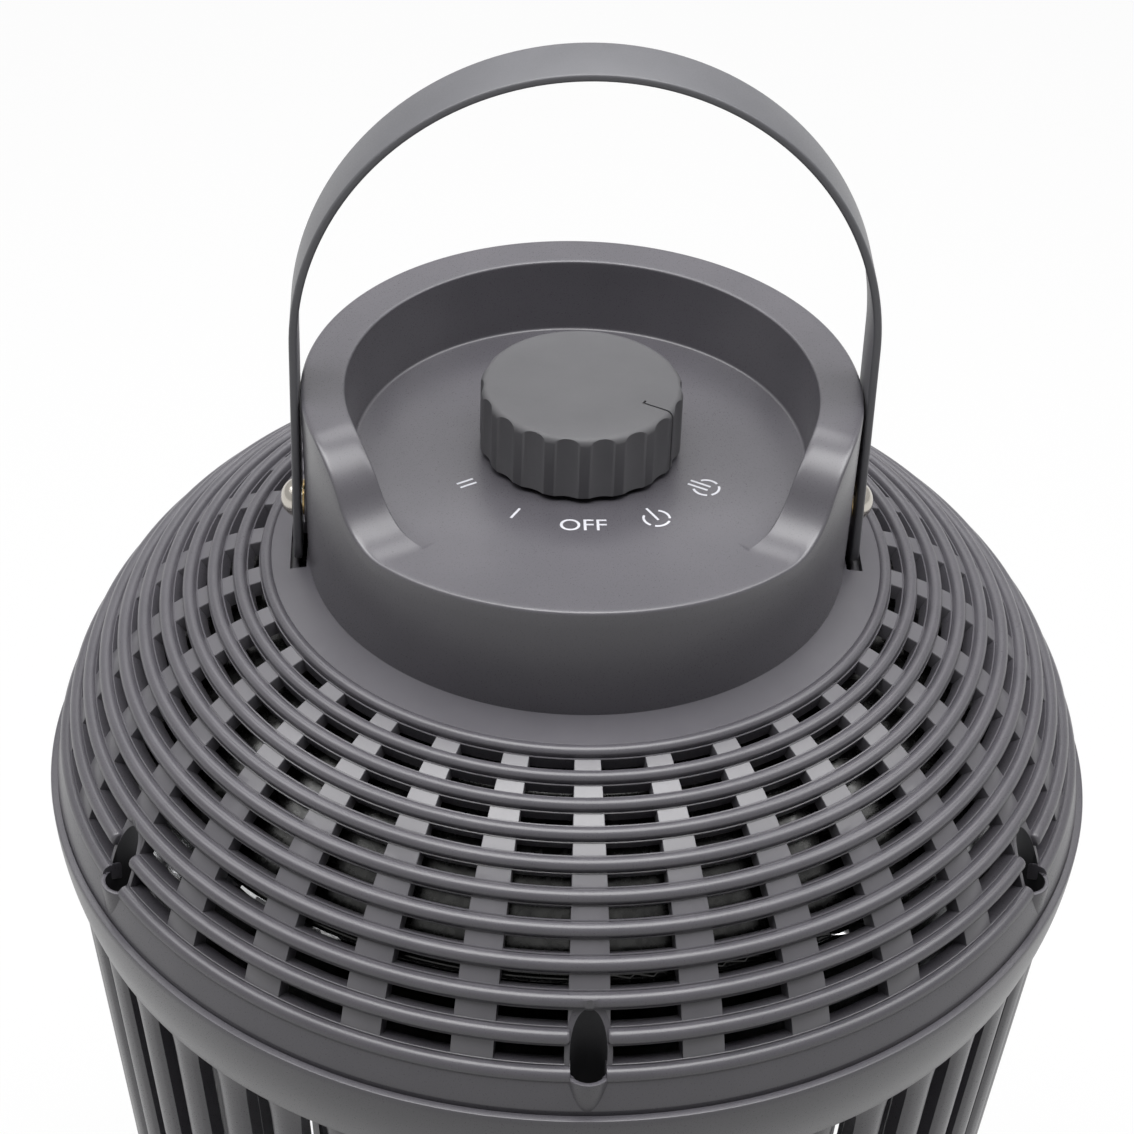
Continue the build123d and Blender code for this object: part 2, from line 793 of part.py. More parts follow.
with BuildPart() as housing_screws:
    with Locations(Location((0, 0, deck_bottom), upside_down)):
        with PolarLocations(head_boss_circle, head_boss_count, start_angle=rod_start):
            add(
                screw(
                    head_screw_radius,
                    deck_edge_thickness + head_screw_grip,
                    head_screw_head,
                    screw_head_height,
                )
            )
housing_screws.part.label = "housing_screws"

# Handle: a bent flat strip whose round ends turn in the deck's slots
handle_half = (handle_inner + handle_outer) / 2
leg_top = pivot_height + handle_leg
with BuildPart() as carry_handle:
    with BuildSketch(Plane.XZ):
        with BuildLine():
            over = EllipticalCenterArc(
                (0, leg_top),
                handle_outer,
                handle_arch + handle_thickness / 2,
                start_angle=0,
                arc_size=180,
            )
            under = EllipticalCenterArc(
                (0, leg_top),
                handle_inner,
                handle_arch - handle_thickness / 2,
                start_angle=0,
                arc_size=180,
            )
            for side in (-1, 1):
                Polyline(
                    (side * handle_outer, leg_top),
                    (side * handle_outer, pivot_height - handle_end_drop),
                    (side * handle_inner, pivot_height - handle_end_drop),
                    (side * handle_inner, leg_top),
                )
        make_face()
    extrude(amount=handle_width / 2, both=True)
    fillet(
        carry_handle.edges().filter_by(Axis.X).group_by(Axis.Z)[0],
        radius=handle_width / 2 - handle_end_flat,
    )
    with BuildSketch(Plane.YZ):
        with Locations((0, pivot_height)):
            Circle(pivot_radius + running_gap)
    extrude(amount=2 * handle_outer, both=True, mode=Mode.SUBTRACT)
carry_handle.part.label = "carry_handle"

# Handle pivots: shoulder screw, spacer against the head and nut inside it
spacer_face = pad_reach + spacer_thickness
head_seat = handle_outer + side_gap
nut_seat = head_pivot_radius - wall - nut_play
with BuildPart() as pivot_screws:
    for side in (-1, 1):
        with BuildSketch(Plane.XZ):
            with BuildLine():
                cap = ThreePointArc(
                    (side * (head_seat + pivot_head_height), 0),
                    (
                        side * (head_seat + pivot_head_height * crown_rise),
                        pivot_head_radius * crown_reach,
                    ),
                    (side * head_seat, pivot_head_radius),
                )
                Polyline(
                    cap @ 1,
                    (side * head_seat, pivot_radius),
                    (side * spacer_face, pivot_radius),
                    (side * spacer_face, pivot_thread_radius),
                    (side * (nut_seat - pivot_nut_height - pivot_tip), pivot_thread_radius),
                    (side * (nut_seat - pivot_nut_height - pivot_tip), 0),
                    cap @ 0,
                )
            make_face()
        revolve(axis=Axis.X)
pivot_screws.part = pivot_screws.part.moved(Location((0, 0, pivot_height)))
pivot_screws.part.label = "pivot_screws"

with BuildPart() as pivot_spacers:
    for side in (-1, 1):
        with BuildSketch(Plane.YZ.offset(side * pad_reach)):
            with Locations((0, pivot_height)):
                Circle(spacer_radius)
                Circle(pivot_thread_radius + running_gap, mode=Mode.SUBTRACT)
        extrude(amount=side * spacer_thickness)
pivot_spacers.part.label = "pivot_spacers"

with BuildPart() as pivot_nuts:
    for side in (-1, 1):
        with BuildSketch(Plane.YZ.offset(side * nut_seat)):
            with Locations((0, pivot_height)):
                RegularPolygon(radius=pivot_nut_flat, side_count=6, major_radius=False)
                Circle(pivot_thread_radius + running_gap, mode=Mode.SUBTRACT)
        extrude(amount=-side * pivot_nut_height)
pivot_nuts.part.label = "pivot_nuts"

# Knob: scalloped cap with a hub; its pointer groove runs from the top face down the edge
knob_bottom = panel_height + knob_lift
knob_top = knob_bottom + knob_height
bush_top = panel_height + bush_height
hub_bottom = bush_top + side_gap
with BuildPart() as control_knob:
    with Locations((0, knob_shift, knob_bottom)):
        Cylinder(knob_radius, knob_height, align=(Align.CENTER, Align.CENTER, Align.MIN))
    fillet(control_knob.edges().group_by(Axis.Z)[-1], radius=knob_edge)
    with BuildSketch(Plane.XY.offset(knob_bottom)):
        with Locations((0, knob_shift)):
            flute_circle = knob_radius - flute_depth + flute_radius
            with PolarLocations(flute_circle, flute_count, start_angle=FRONT + flute_azimuth):
                Circle(flute_radius)
    extrude(amount=knob_height, mode=Mode.SUBTRACT)
    with BuildSketch(Plane.XY.offset(knob_bottom)):
        with Locations((0, knob_shift)):
            Circle(knob_radius - knob_wall)
    extrude(amount=knob_height - knob_top_thickness, mode=Mode.SUBTRACT)
    with BuildSketch(Plane.XY.offset(hub_bottom)):
        with Locations((0, knob_shift)):
            Circle(hub_radius)
    extrude(amount=knob_top - hub_bottom - knob_top_thickness / 2)
    with BuildSketch(Plane.XY.offset(hub_bottom)):
        with Locations((0, knob_shift)):
            Circle(shaft_radius + running_gap)
    extrude(amount=knob_top - hub_bottom - knob_top_thickness, mode=Mode.SUBTRACT)
    with BuildSketch(Plane.XY.offset(knob_top)):
        with Locations((0, knob_shift)):
            with PolarLocations((pointer_start + knob_radius) / 2, 1, start_angle=FRONT + pointer_azimuth):
                Rectangle(knob_radius - pointer_start, pointer_width)
    extrude(amount=-pointer_depth, mode=Mode.SUBTRACT)
    with BuildSketch(Plane.XY.offset(knob_top)):
        with Locations((0, knob_shift)):
            with PolarLocations(knob_radius, 1, start_angle=FRONT + pointer_azimuth):
                Rectangle(2 * (flute_depth + pointer_depth), pointer_width)
    extrude(amount=-knob_height, mode=Mode.SUBTRACT)
control_knob.part.label = "control_knob"

with BuildPart() as switch_shaft:
    with Locations((0, knob_shift, panel_height - wall - switch_height / 2 + side_gap)):
        Cylinder(
            shaft_radius,
            knob_top - knob_top_thickness - side_gap * 2 - panel_height + wall + switch_height / 2,
            align=(Align.CENTER, Align.CENTER, Align.MIN),
        )
    chamfer(switch_shaft.edges().group_by(Axis.Z)[-1], length=shaft_chamfer)
switch_shaft.part.label = "switch_shaft"

# Rotary switch under the panel, its threaded bush through it and its nut above it
switch_top = panel_height - wall
with BuildPart() as rotary_switch:
    with Locations((0, knob_shift, switch_top)):
        Box(switch_size, switch_size, switch_height, align=(Align.CENTER, Align.CENTER, Align.MAX))
    fillet(rotary_switch.edges().filter_by(Axis.Z), radius=case_corner)
    with Locations((0, knob_shift, switch_top)):
        Cylinder(bush_radius, bush_top - switch_top, align=(Align.CENTER, Align.CENTER, Align.MIN))
    with Locations((0, knob_shift, bush_top)):
        Cylinder(
            shaft_radius + running_gap,
            bush_top - switch_top + switch_height / 2,
            align=(Align.CENTER, Align.CENTER, Align.MAX),
            mode=Mode.SUBTRACT,
        )
    with Locations((0, knob_shift, switch_top - switch_height)):
        with PolarLocations(blade_circle, blade_count, start_angle=rod_start):
            Box(
                blade_thickness,
                blade_width,
                blade_length,
                align=(Align.CENTER, Align.CENTER, Align.MAX),
            )
rotary_switch.part.label = "rotary_switch"

with BuildPart() as switch_nut:
    with Locations((0, knob_shift, panel_height)):
        add(hex_nut(bush_radius + switch_nut_wall, switch_nut_height, bush_radius + running_gap))
switch_nut.part.label = "switch_nut"

# Heat shield: a spun sheet dome under the ribs, hung from the deck by short stand-offs
shield_radius = rib_underside - shield_gap
shield_shoulder = arc_point(ring_first_angle, shield_radius)
shield_top = shield_shoulder[1]
with BuildPart() as heat_shield:
    with BuildSketch(Plane.XZ):
        with BuildLine():
            upper = CenterArc(
                (arc_axis_radius, arc_axis_height),
                shield_radius,
                shield_edge_angle,
                ring_first_angle - shield_edge_angle,
            )
            lower = CenterArc(
                (arc_axis_radius, arc_axis_height),
                shield_radius - sheet,
                shield_edge_angle,
                ring_first_angle - shield_edge_angle,
            )
            Line(upper @ 0, lower @ 0)
            Polyline(
                upper @ 1,
                (tube_radius - tube_wall, shield_top),
                (tube_radius - tube_wall, shield_top - sheet),
                ((lower @ 1).X, shield_top - sheet),
                lower @ 1,
            )
        make_face()
        with Locations(arc_point(shield_edge_angle, shield_radius - sheet / 2)):
            Circle(shield_hem_radius)
    revolve(axis=Axis.Z)
    with BuildSketch(Plane.XY.offset(shield_top - sheet)):
        with PolarLocations(rod_circle, rod_count, start_angle=rod_start):
            Circle(rod_radius + screw_gap)
        with PolarLocations(standoff_circle, standoff_count, start_angle=FRONT):
            Circle(head_screw_radius + screw_gap)
    extrude(amount=sheet, mode=Mode.SUBTRACT)
heat_shield.part.label = "heat_shield"

with BuildPart() as shield_standoffs:
    with BuildSketch(Plane.XY.offset(shield_top)):
        with PolarLocations(standoff_circle, standoff_count, start_angle=FRONT):
            Circle(standoff_radius)
            Circle(head_screw_radius + screw_gap, mode=Mode.SUBTRACT)
    extrude(amount=deck_bottom - shield_top)
shield_standoffs.part.label = "shield_standoffs"

with BuildPart() as shield_screws:
    with Locations(Location((0, 0, shield_top - sheet), upside_down)):
        with PolarLocations(standoff_circle, standoff_count, start_angle=FRONT):
            add(
                screw(
                    head_screw_radius,
                    sheet + deck_bottom - shield_top + shield_screw_bite,
                    head_screw_head,
                    screw_head_height,
                )
            )
shield_screws.part.label = "shield_screws"

# Reflectors: flat discs with a sloping skirt above and a raised lip below
upper_reflector_top = shield_top - sheet - upper_reflector_drop
upper_reflector_bottom = upper_reflector_top - sheet
lower_reflector_radius = lower_ring_inner - lower_reflector_gap
with BuildPart() as upper_reflector:
    with BuildSketch(Plane.XZ):
        Polygon(
            (tube_radius + drop_in_gap, upper_reflector_bottom),
            (reflector_flat_radius, upper_reflector_bottom),
            (reflector_flat_radius + upper_reflector_reach, upper_reflector_bottom - upper_reflector_fall),
            (reflector_flat_radius + upper_reflector_reach, upper_reflector_top - upper_reflector_fall),
            (reflector_flat_radius, upper_reflector_top),
            (tube_radius + drop_in_gap, upper_reflector_top),
            align=None,
        )
    revolve(axis=Axis.Z)
    with BuildSketch(Plane.XY.offset(upper_reflector_bottom)):
        with PolarLocations(rod_circle, rod_count, start_angle=rod_start):
            Circle(rod_radius + screw_gap)
    extrude(amount=sheet, mode=Mode.SUBTRACT)
upper_reflector.part.label = "upper_reflector"

lower_reflector_top = base_top + sheet
with BuildPart() as lower_reflector:
    with BuildSketch(Plane.XZ):
        Polygon(
            (tube_radius + drop_in_gap, base_top),
            (reflector_flat_radius, base_top),
            (lower_reflector_radius, base_top + lower_reflector_lip),
            (lower_reflector_radius, lower_reflector_top + lower_reflector_lip),
            (reflector_flat_radius, lower_reflector_top),
            (tube_radius + drop_in_gap, lower_reflector_top),
            align=None,
        )
    revolve(axis=Axis.Z)
    with BuildSketch(Plane.XY.offset(base_top)):
        with PolarLocations(rod_circle, rod_count, start_angle=rod_start):
            Circle(rod_radius + screw_gap)
    extrude(amount=sheet, mode=Mode.SUBTRACT)
lower_reflector.part.label = "lower_reflector"

# Tie rods with sleeves that space the reflectors and the shield
with BuildPart() as tie_rods:
    with BuildSketch(Plane.XY.offset(plate_bottom - nut_height - rod_tip)):
        with PolarLocations(rod_circle, rod_count, start_angle=rod_start):
            Circle(rod_radius)
    extrude(amount=shield_top + rod_upper_end - plate_bottom + nut_height + rod_tip)
tie_rods.part.label = "tie_rods"

sleeve_bore = rod_radius + screw_gap
with BuildPart() as lower_sleeves:
    with BuildSketch(Plane.XY.offset(lower_reflector_top)):
        with PolarLocations(rod_circle, rod_count, start_angle=rod_start):
            Circle(sleeve_bore + sleeve_wall)
            Circle(sleeve_bore, mode=Mode.SUBTRACT)
    extrude(amount=upper_reflector_bottom - lower_reflector_top)
lower_sleeves.part.label = "lower_sleeves"

with BuildPart() as upper_sleeves:
    with BuildSketch(Plane.XY.offset(upper_reflector_top)):
        with PolarLocations(rod_circle, rod_count, start_angle=rod_start):
            Circle(sleeve_bore + sleeve_wall)
            Circle(sleeve_bore, mode=Mode.SUBTRACT)
    extrude(amount=upper_reflector_drop)
upper_sleeves.part.label = "upper_sleeves"

with BuildPart() as rod_nuts:
    with Locations((0, 0, plate_bottom - nut_height), (0, 0, shield_top)):
        with PolarLocations(rod_circle, rod_count, start_angle=rod_start):
            add(hex_nut(nut_flat, nut_height, rod_radius + running_gap))
rod_nuts.part.label = "rod_nuts"

with BuildPart() as centre_tube:
    with BuildSketch(Plane.XY.offset(base_top)):
        Circle(tube_radius)
        Circle(tube_radius - tube_wall, mode=Mode.SUBTRACT)
    extrude(amount=shield_top - sheet - base_top)
centre_tube.part.label = "centre_tube"

# Lamps: two upright quartz tubes with ceramic caps in ceramic sockets
lower_cap_bottom = lower_reflector_top + socket_height - cap_grip
upper_cap_top = upper_reflector_bottom - socket_height + cap_grip
glass_bottom = lower_cap_bottom + cap_length
glass_top = upper_cap_top - cap_length
with BuildPart() as lamp_sockets:
    with BuildSketch(Plane.XY.offset(lower_reflector_top)):
        with GridLocations(lamp_spacing, 1, lamp_count, 1):
            Circle(socket_radius)
    extrude(amount=socket_height)
    with BuildSketch(Plane.XY.offset(upper_reflector_bottom)):
        with GridLocations(lamp_spacing, 1, lamp_count, 1):
            Circle(socket_radius)
    extrude(amount=-socket_height)
    with BuildSketch(Plane.XY.offset(lower_cap_bottom)):
        with GridLocations(lamp_spacing, 1, lamp_count, 1):
            Circle(cap_radius + screw_gap)
    extrude(amount=upper_cap_top - lower_cap_bottom, mode=Mode.SUBTRACT)
lamp_sockets.part.label = "lamp_sockets"

with BuildPart() as lamp_caps:
    with BuildSketch(Plane.XY.offset(lower_cap_bottom)):
        with GridLocations(lamp_spacing, 1, lamp_count, 1):
            Circle(cap_radius)
    extrude(amount=cap_length)
    with BuildSketch(Plane.XY.offset(upper_cap_top)):
        with GridLocations(lamp_spacing, 1, lamp_count, 1):
            Circle(cap_radius)
    extrude(amount=-cap_length)
lamp_caps.part.label = "lamp_caps"

with BuildPart() as quartz_tubes:
    with BuildSketch(Plane.XY.offset(glass_bottom)):
        with GridLocations(lamp_spacing, 1, lamp_count, 1):
            Circle(glass_radius)
            Circle(glass_radius - glass_wall, mode=Mode.SUBTRACT)
    extrude(amount=glass_top - glass_bottom)
quartz_tubes.part.label = "quartz_tubes"

with BuildPart() as filaments:
    with BuildSketch(Plane.XY.offset(glass_bottom)):
        with GridLocations(lamp_spacing, 1, lamp_count, 1):
            Circle(filament_radius)
    extrude(amount=glass_top - glass_bottom)
filaments.part.label = "filaments"

# Four wires run straight down the centre tube from the switch to the terminal block
loom_bottom = pan_top + block_height
with BuildPart() as wiring_loom:
    with BuildSketch(Plane.XY.offset(loom_bottom)):
        with PolarLocations(wire_circle, wire_count, start_angle=FRONT):
            Circle(wire_radius)
    extrude(amount=switch_top - switch_height - loom_bottom)
wiring_loom.part.label = "wiring_loom"

os.makedirs("parts", exist_ok=True)
pieces = [
    base_body,
    base_pan,
    base_screws,
    rubber_feet,
    terminal_block,
    tilt_switch,
    thermal_cutout,
    inlet_bush,
    guard_cage,
    cage_screws,
    dome_grille,
    dome_screws,
    top_deck,
    deck_screws,
    control_housing,
    housing_screws,
    carry_handle,
    pivot_screws,
    pivot_spacers,
    pivot_nuts,
    control_knob,
    switch_shaft,
    rotary_switch,
    switch_nut,
    heat_shield,
    shield_standoffs,
    shield_screws,
    upper_reflector,
    lower_reflector,
    tie_rods,
    lower_sleeves,
    upper_sleeves,
    rod_nuts,
    centre_tube,
    lamp_sockets,
    lamp_caps,
    quartz_tubes,
    filaments,
    wiring_loom,
]
for piece in pieces:
    export_step(piece.part, "parts/" + piece.part.label + ".step")
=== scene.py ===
import json
import random
from math import asin, atan, cos, degrees, hypot, pi, radians, sin, sqrt

import bmesh
import bpy
from mathutils import Matrix, Vector


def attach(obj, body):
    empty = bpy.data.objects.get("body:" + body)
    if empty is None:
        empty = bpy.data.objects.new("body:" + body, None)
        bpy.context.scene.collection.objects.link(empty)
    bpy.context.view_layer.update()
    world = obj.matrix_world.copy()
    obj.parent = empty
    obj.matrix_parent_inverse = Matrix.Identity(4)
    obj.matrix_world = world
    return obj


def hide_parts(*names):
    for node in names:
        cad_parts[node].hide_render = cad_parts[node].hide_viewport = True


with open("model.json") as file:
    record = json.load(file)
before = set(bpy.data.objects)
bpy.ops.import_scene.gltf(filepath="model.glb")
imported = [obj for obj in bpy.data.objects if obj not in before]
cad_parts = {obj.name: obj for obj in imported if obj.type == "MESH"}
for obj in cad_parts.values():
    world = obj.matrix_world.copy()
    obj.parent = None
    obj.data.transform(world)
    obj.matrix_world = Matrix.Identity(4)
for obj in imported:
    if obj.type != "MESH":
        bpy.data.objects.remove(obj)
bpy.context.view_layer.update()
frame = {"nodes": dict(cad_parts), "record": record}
scene = bpy.context.scene
MM = 0.001
FRONT = -90.0                # azimuth of the dial side, counted from +X

# Millimetres, as in the part's source
parting_height = 324.5
parting_level = 325.0        # the dome's lower edge
band_bottom = 301.1
band_bottom_radius = 136.39
band_top_radius = 141.09
base_top = 42.0
lower_ring_top = 54.0
bar_count = 48
bar_width = 9.3
arc_axis_radius = 61.5
arc_axis_height = 315.6
arc_radius = 78.95
ring_count = 11
ring_proud = 2.2             # the rings above the ribs
rib_depth = 4.2
rib_count = 30
rib_angle = 4.5
shoulder_sink = 0.7          # the shoulder under the rings' crests
shoulder_wall = 3.6
well_circle = 134.19
well_radius = 4.5
well_floor_height = 320.5
well_lip_height = 335.4
well_boss_radius = 5.85
well_boss_draft = 0.9
well_count = 6
well_foot_height = 324.6
deck_top = 392.7
head_base_radius = 70.2
head_taper = 1.2
head_height = 50.2
head_top = deck_top + head_height
panel_height = 422.6
bowl_top_radius = 60.1
bowl_floor_radius = 58.4
bush_radius = 5.0
shoulder_azimuth = 59.0
shoulder_half_length = 16.5
pivot_height = 407.7
handle_inner = 71.6
handle_outer = 73.7
handle_width = 16.5
handle_leg = 51.0
handle_arch = 76.0
handle_end_drop = 17.7
knob_shift = 2.5
knob_radius = 25.9
knob_bottom = 424.3
knob_top = 442.0


def ring_angle(index):
    return 75.25 - 5.48 * index - 0.00056 * index**4


def arc_point(angle, radius):
    turn = radians(angle)
    return arc_axis_radius + radius * cos(turn), arc_axis_height + radius * sin(turn)


def bar_radius(height):
    return band_bottom_radius - 0.107 * (band_bottom - height)


# Mesh helpers


def link(name, mesh):
    piece = bpy.data.objects.new(name, mesh)
    scene.collection.objects.link(piece)
    return piece


def make_piece(name, points, faces, sharp=38.0):
    """A mesh from points in millimetres; edges steeper than sharp degrees stay crisp."""
    mesh = bpy.data.meshes.new(name)
    mesh.from_pydata([Vector(p) * MM for p in points], [], faces)
    work = bmesh.new()
    work.from_mesh(mesh)
    bmesh.ops.remove_doubles(work, verts=work.verts, dist=0.004 * MM)
    bmesh.ops.recalc_face_normals(work, faces=work.faces)
    work.to_mesh(mesh)
    work.free()
    mesh.shade_smooth()
    mesh.set_sharp_from_angle(angle=radians(sharp))
    return link(name, mesh)


def round_corners(corners):
    """A closed section from (x, y, radius) corners, each rounded by its radius."""
    steps = 4
    section = []
    count = len(corners)
    for i, (x, y, radius) in enumerate(corners):
        here = Vector((x, y))
        before = Vector(corners[i - 1][:2]) - here
        after = Vector(corners[(i + 1) % count][:2]) - here
        reach = min(radius, before.length * 0.49, after.length * 0.49)
        start = here + before.normalized() * reach
        end = here + after.normalized() * reach
        for k in range(steps + 1):
            t = k / steps
            p = start * (1 - t) ** 2 + here * 2 * t * (1 - t) + end * t**2
            section.append((p.x, p.y))
    return section


def tube_faces(rows, columns, close_rows=True):
    """Quads of a grid whose columns close; its rows close too unless told otherwise."""
    faces = []
    for i in range(rows if close_rows else rows - 1):
        for j in range(columns):
            a = i * columns + j
            b = i * columns + (j + 1) % columns
            c = ((i + 1) % rows) * columns + (j + 1) % columns
            d = ((i + 1) % rows) * columns + j
            faces.append((a, b, c, d))
    return faces


def capped_tube(rows, columns):
    """Quads of an open grid whose columns close, and a face over each end."""
    faces = tube_faces(rows, columns, close_rows=False)
    faces.append(tuple(reversed(range(columns))))
    faces.append(tuple(range((rows - 1) * columns, rows * columns)))
    return faces


def spin(section, segments):
    """Points and faces of a closed (radius, height) section turned about the Z axis."""
    points = []
    for i in range(segments):
        turn = radians(360.0 * i / segments)
        points += [(r * cos(turn), r * sin(turn), z) for r, z in section]
    return points, tube_faces(segments, len(section))


def join(parts):
    """One list of points and one of faces from several."""
    points, faces = [], []
    for some_points, some_faces in parts:
        shift = len(points)
        points += some_points
        faces += [tuple(i + shift for i in face) for face in some_faces]
    return points, faces


def cut(piece, cutters):
    """Takes the closed cutters out of a closed piece."""
    tool = make_piece("cutter", *join(cutters))
    change = piece.modifiers.new("cut", "BOOLEAN")
    change.operation = "DIFFERENCE"
    change.solver = "EXACT"
    change.object = tool
    bpy.context.view_layer.update()
    shaped = piece.evaluated_get(bpy.context.evaluated_depsgraph_get())
    mesh = bpy.data.meshes.new_from_object(shaped)
    piece.modifiers.clear()
    piece.data = mesh
    mesh.set_sharp_from_angle(angle=radians(38.0))
    bpy.data.objects.remove(tool)
    return piece


def moved(part, x=0.0, y=0.0, z=0.0, turn=0.0):
    """Points and faces turned about Z by degrees, then moved."""
    points, faces = part
    c, s = cos(radians(turn)), sin(radians(turn))
    placed = [(px * c - py * s + x, px * s + py * c + y, pz + z) for px, py, pz in points]
    return placed, faces


def at_azimuth(part, radius, azimuth):
    """A part made round the Z axis, carried out to a radius; its +X points outward."""
    turn = radians(azimuth)
    return moved(part, radius * cos(turn), radius * sin(turn), 0, azimuth)


# Materials


def new_material(name):
    material = bpy.data.materials.new(name)
    material.use_nodes = True
    nodes = material.node_tree.nodes
    return material, nodes, material.node_tree.links, nodes["Principled BSDF"]


def noise(nodes, links, place, scale, detail=2.0, rough=0.5):
    texture = nodes.new("ShaderNodeTexNoise")
    texture.inputs["Scale"].default_value = scale
    texture.inputs["Detail"].default_value = detail
    texture.inputs["Roughness"].default_value = rough
    links.new(place, texture.inputs["Vector"])
    return texture.outputs["Fac"]


def ramp(nodes, links, factor, low, high, start=0.0, end=1.0):
    """Maps a factor onto a span of two colours or two greys."""
    band = nodes.new("ShaderNodeValToRGB")
    band.color_ramp.elements[0].position = start
    band.color_ramp.elements[1].position = end
    band.color_ramp.elements[0].color = low if len(low) == 4 else (*low, 1)
    band.color_ramp.elements[1].color = high if len(high) == 4 else (*high, 1)
    links.new(factor, band.inputs["Fac"])
    return band.outputs["Color"]


def grey(value):
    return (value, value, value)


def finish_material(
    name, low, high, rough, grain, bump, metallic=0.0, spread=0.05, cloud=60.0,
    edge=0.0, shine=0.5,
):
    """A moulded or painted surface: two close tones in clouds, fine grain in bump and gloss.

    grain is the size of the grain in millimetres, bump its depth in thousandths of a millimetre,
    edge the radius of small rounded edges in millimetres.
    """
    material, nodes, links, shader = new_material(name)
    place = nodes.new("ShaderNodeTexCoord").outputs["Object"]
    clouds = noise(nodes, links, place, cloud, 4.0, 0.6)
    colour = ramp(nodes, links, clouds, low, high, 0.3, 0.7)
    links.new(colour, shader.inputs["Base Color"])
    grains = noise(nodes, links, place, 1000.0 / grain, 2.0, 0.6)
    links.new(
        ramp(nodes, links, grains, grey(rough - spread), grey(rough + spread), 0.3, 0.7),
        shader.inputs["Roughness"],
    )
    shader.inputs["Metallic"].default_value = metallic
    shader.inputs["Specular IOR Level"].default_value = shine
    relief = nodes.new("ShaderNodeBump")
    relief.inputs["Strength"].default_value = 1.0
    relief.inputs["Distance"].default_value = bump * 1e-6
    links.new(grains, relief.inputs["Height"])
    if edge:
        soft = nodes.new("ShaderNodeBevel")
        soft.samples = 4
        soft.inputs["Radius"].default_value = edge * MM
        links.new(soft.outputs["Normal"], relief.inputs["Normal"])
    links.new(relief.outputs["Normal"], shader.inputs["Normal"])
    return material


moulding = finish_material(
    "moulded_plastic", (0.094, 0.090, 0.103), (0.108, 0.103, 0.117), 0.31, 0.35, 7.0, shine=0.7
)
# The ribs' copy of the dome moulding, in lighter tones with a stronger specular level: painted light
# on the rib tops that face the lamps.
rib_plastic_painted_light = finish_material(
    "rib_plastic_painted_light", (0.116, 0.112, 0.125), (0.132, 0.127, 0.141), 0.34, 0.35, 7.0, shine=1.0
)
# A near-black, rough copy of the moulding: painted shade for the deep bores of the screw wells.
bore_painted_shade = finish_material(
    "bore_painted_shade", (0.018, 0.018, 0.020), (0.024, 0.024, 0.026), 0.60, 0.35, 7.0, shine=0.3
)
moulding_crisp = finish_material(
    "moulded_plastic_rounded", (0.098, 0.094, 0.107), (0.112, 0.107, 0.121), 0.38, 0.35, 7.0,
    edge=0.35, shine=0.6,
)
head_plastic = finish_material(
    "head_plastic", (0.098, 0.094, 0.107), (0.110, 0.105, 0.119), 0.31, 0.3, 5.0, shine=0.85
)
knob_plastic = finish_material(
    "knob_plastic", (0.128, 0.127, 0.134), (0.144, 0.143, 0.150), 0.50, 0.4, 9.0, shine=0.4
)
handle_paint = finish_material(
    "handle_powder_coat", (0.130, 0.130, 0.141), (0.146, 0.146, 0.158), 0.40, 0.45, 10.0, shine=0.6
)
bright_metal = finish_material(
    "bright_screw_metal", (0.55, 0.52, 0.47), (0.68, 0.64, 0.58), 0.22, 0.6, 2.0, metallic=1.0
)
brass = finish_material("brass", (0.62, 0.44, 0.20), (0.74, 0.55, 0.28), 0.28, 0.6, 2.0, metallic=1.0)
zinc = finish_material(
    "zinc_steel", (0.42, 0.42, 0.42), (0.55, 0.55, 0.54), 0.38, 1.6, 3.0,
    metallic=1.0, spread=0.1, edge=0.2,
)
# The heat shield's metal is much darker than bare sheet steel. This is painted shade, so the inside
# seen through the grille's openings reads dark.
shield_painted_dark = finish_material(
    "shield_sheet", (0.060, 0.060, 0.060), (0.10, 0.10, 0.097), 0.26, 2.4, 14.0,
    metallic=0.9, spread=0.1, cloud=110.0,
)
mirror_sheet = finish_material(
    "reflector_sheet", (0.72, 0.73, 0.74), (0.82, 0.83, 0.84), 0.14, 3.0, 8.0, metallic=1.0
)
foil = finish_material(
    "crumpled_hem", (0.78, 0.79, 0.80), (0.90, 0.90, 0.91), 0.12, 2.0, 18.0, metallic=1.0
)
tube_metal = finish_material(
    "tube_metal", (0.48, 0.48, 0.49), (0.60, 0.60, 0.61), 0.30, 1.2, 3.0, metallic=1.0
)
tungsten = finish_material(
    "filament_wire", (0.20, 0.20, 0.21), (0.30, 0.30, 0.31), 0.35, 0.4, 3.0, metallic=1.0
)
ceramic = finish_material("ceramic", (0.72, 0.70, 0.65), (0.82, 0.80, 0.76), 0.55, 0.8, 12.0, edge=0.4)
rubber = finish_material(
    "foot_rubber", (0.022, 0.022, 0.023), (0.032, 0.032, 0.033), 0.75, 0.7, 30.0, edge=0.6
)
switch_plastic = finish_material(
    "switch_plastic", (0.035, 0.035, 0.037), (0.050, 0.050, 0.052), 0.45, 0.5, 8.0, edge=0.3
)
cover_plastic = finish_material(
    "wire_cover", (0.040, 0.040, 0.042), (0.060, 0.060, 0.063), 0.60, 1.0, 30.0
)
mark_ink = finish_material(
    "printed_marks", (0.66, 0.66, 0.71), (0.76, 0.76, 0.81), 0.45, 0.3, 3.0, cloud=900.0
)


def quartz_glass():
    material, nodes, links, shader = new_material("quartz_glass")
    place = nodes.new("ShaderNodeTexCoord").outputs["Object"]
    streaks = noise(nodes, links, place, 220.0, 3.0, 0.6)
    links.new(
        ramp(nodes, links, streaks, (0.90, 0.93, 0.95), (0.99, 1.0, 1.0)), shader.inputs["Base Color"]
    )
    links.new(ramp(nodes, links, streaks, grey(0.02), grey(0.09)), shader.inputs["Roughness"])
    shader.inputs["Transmission Weight"].default_value = 1.0
    shader.inputs["IOR"].default_value = 1.46
    return material


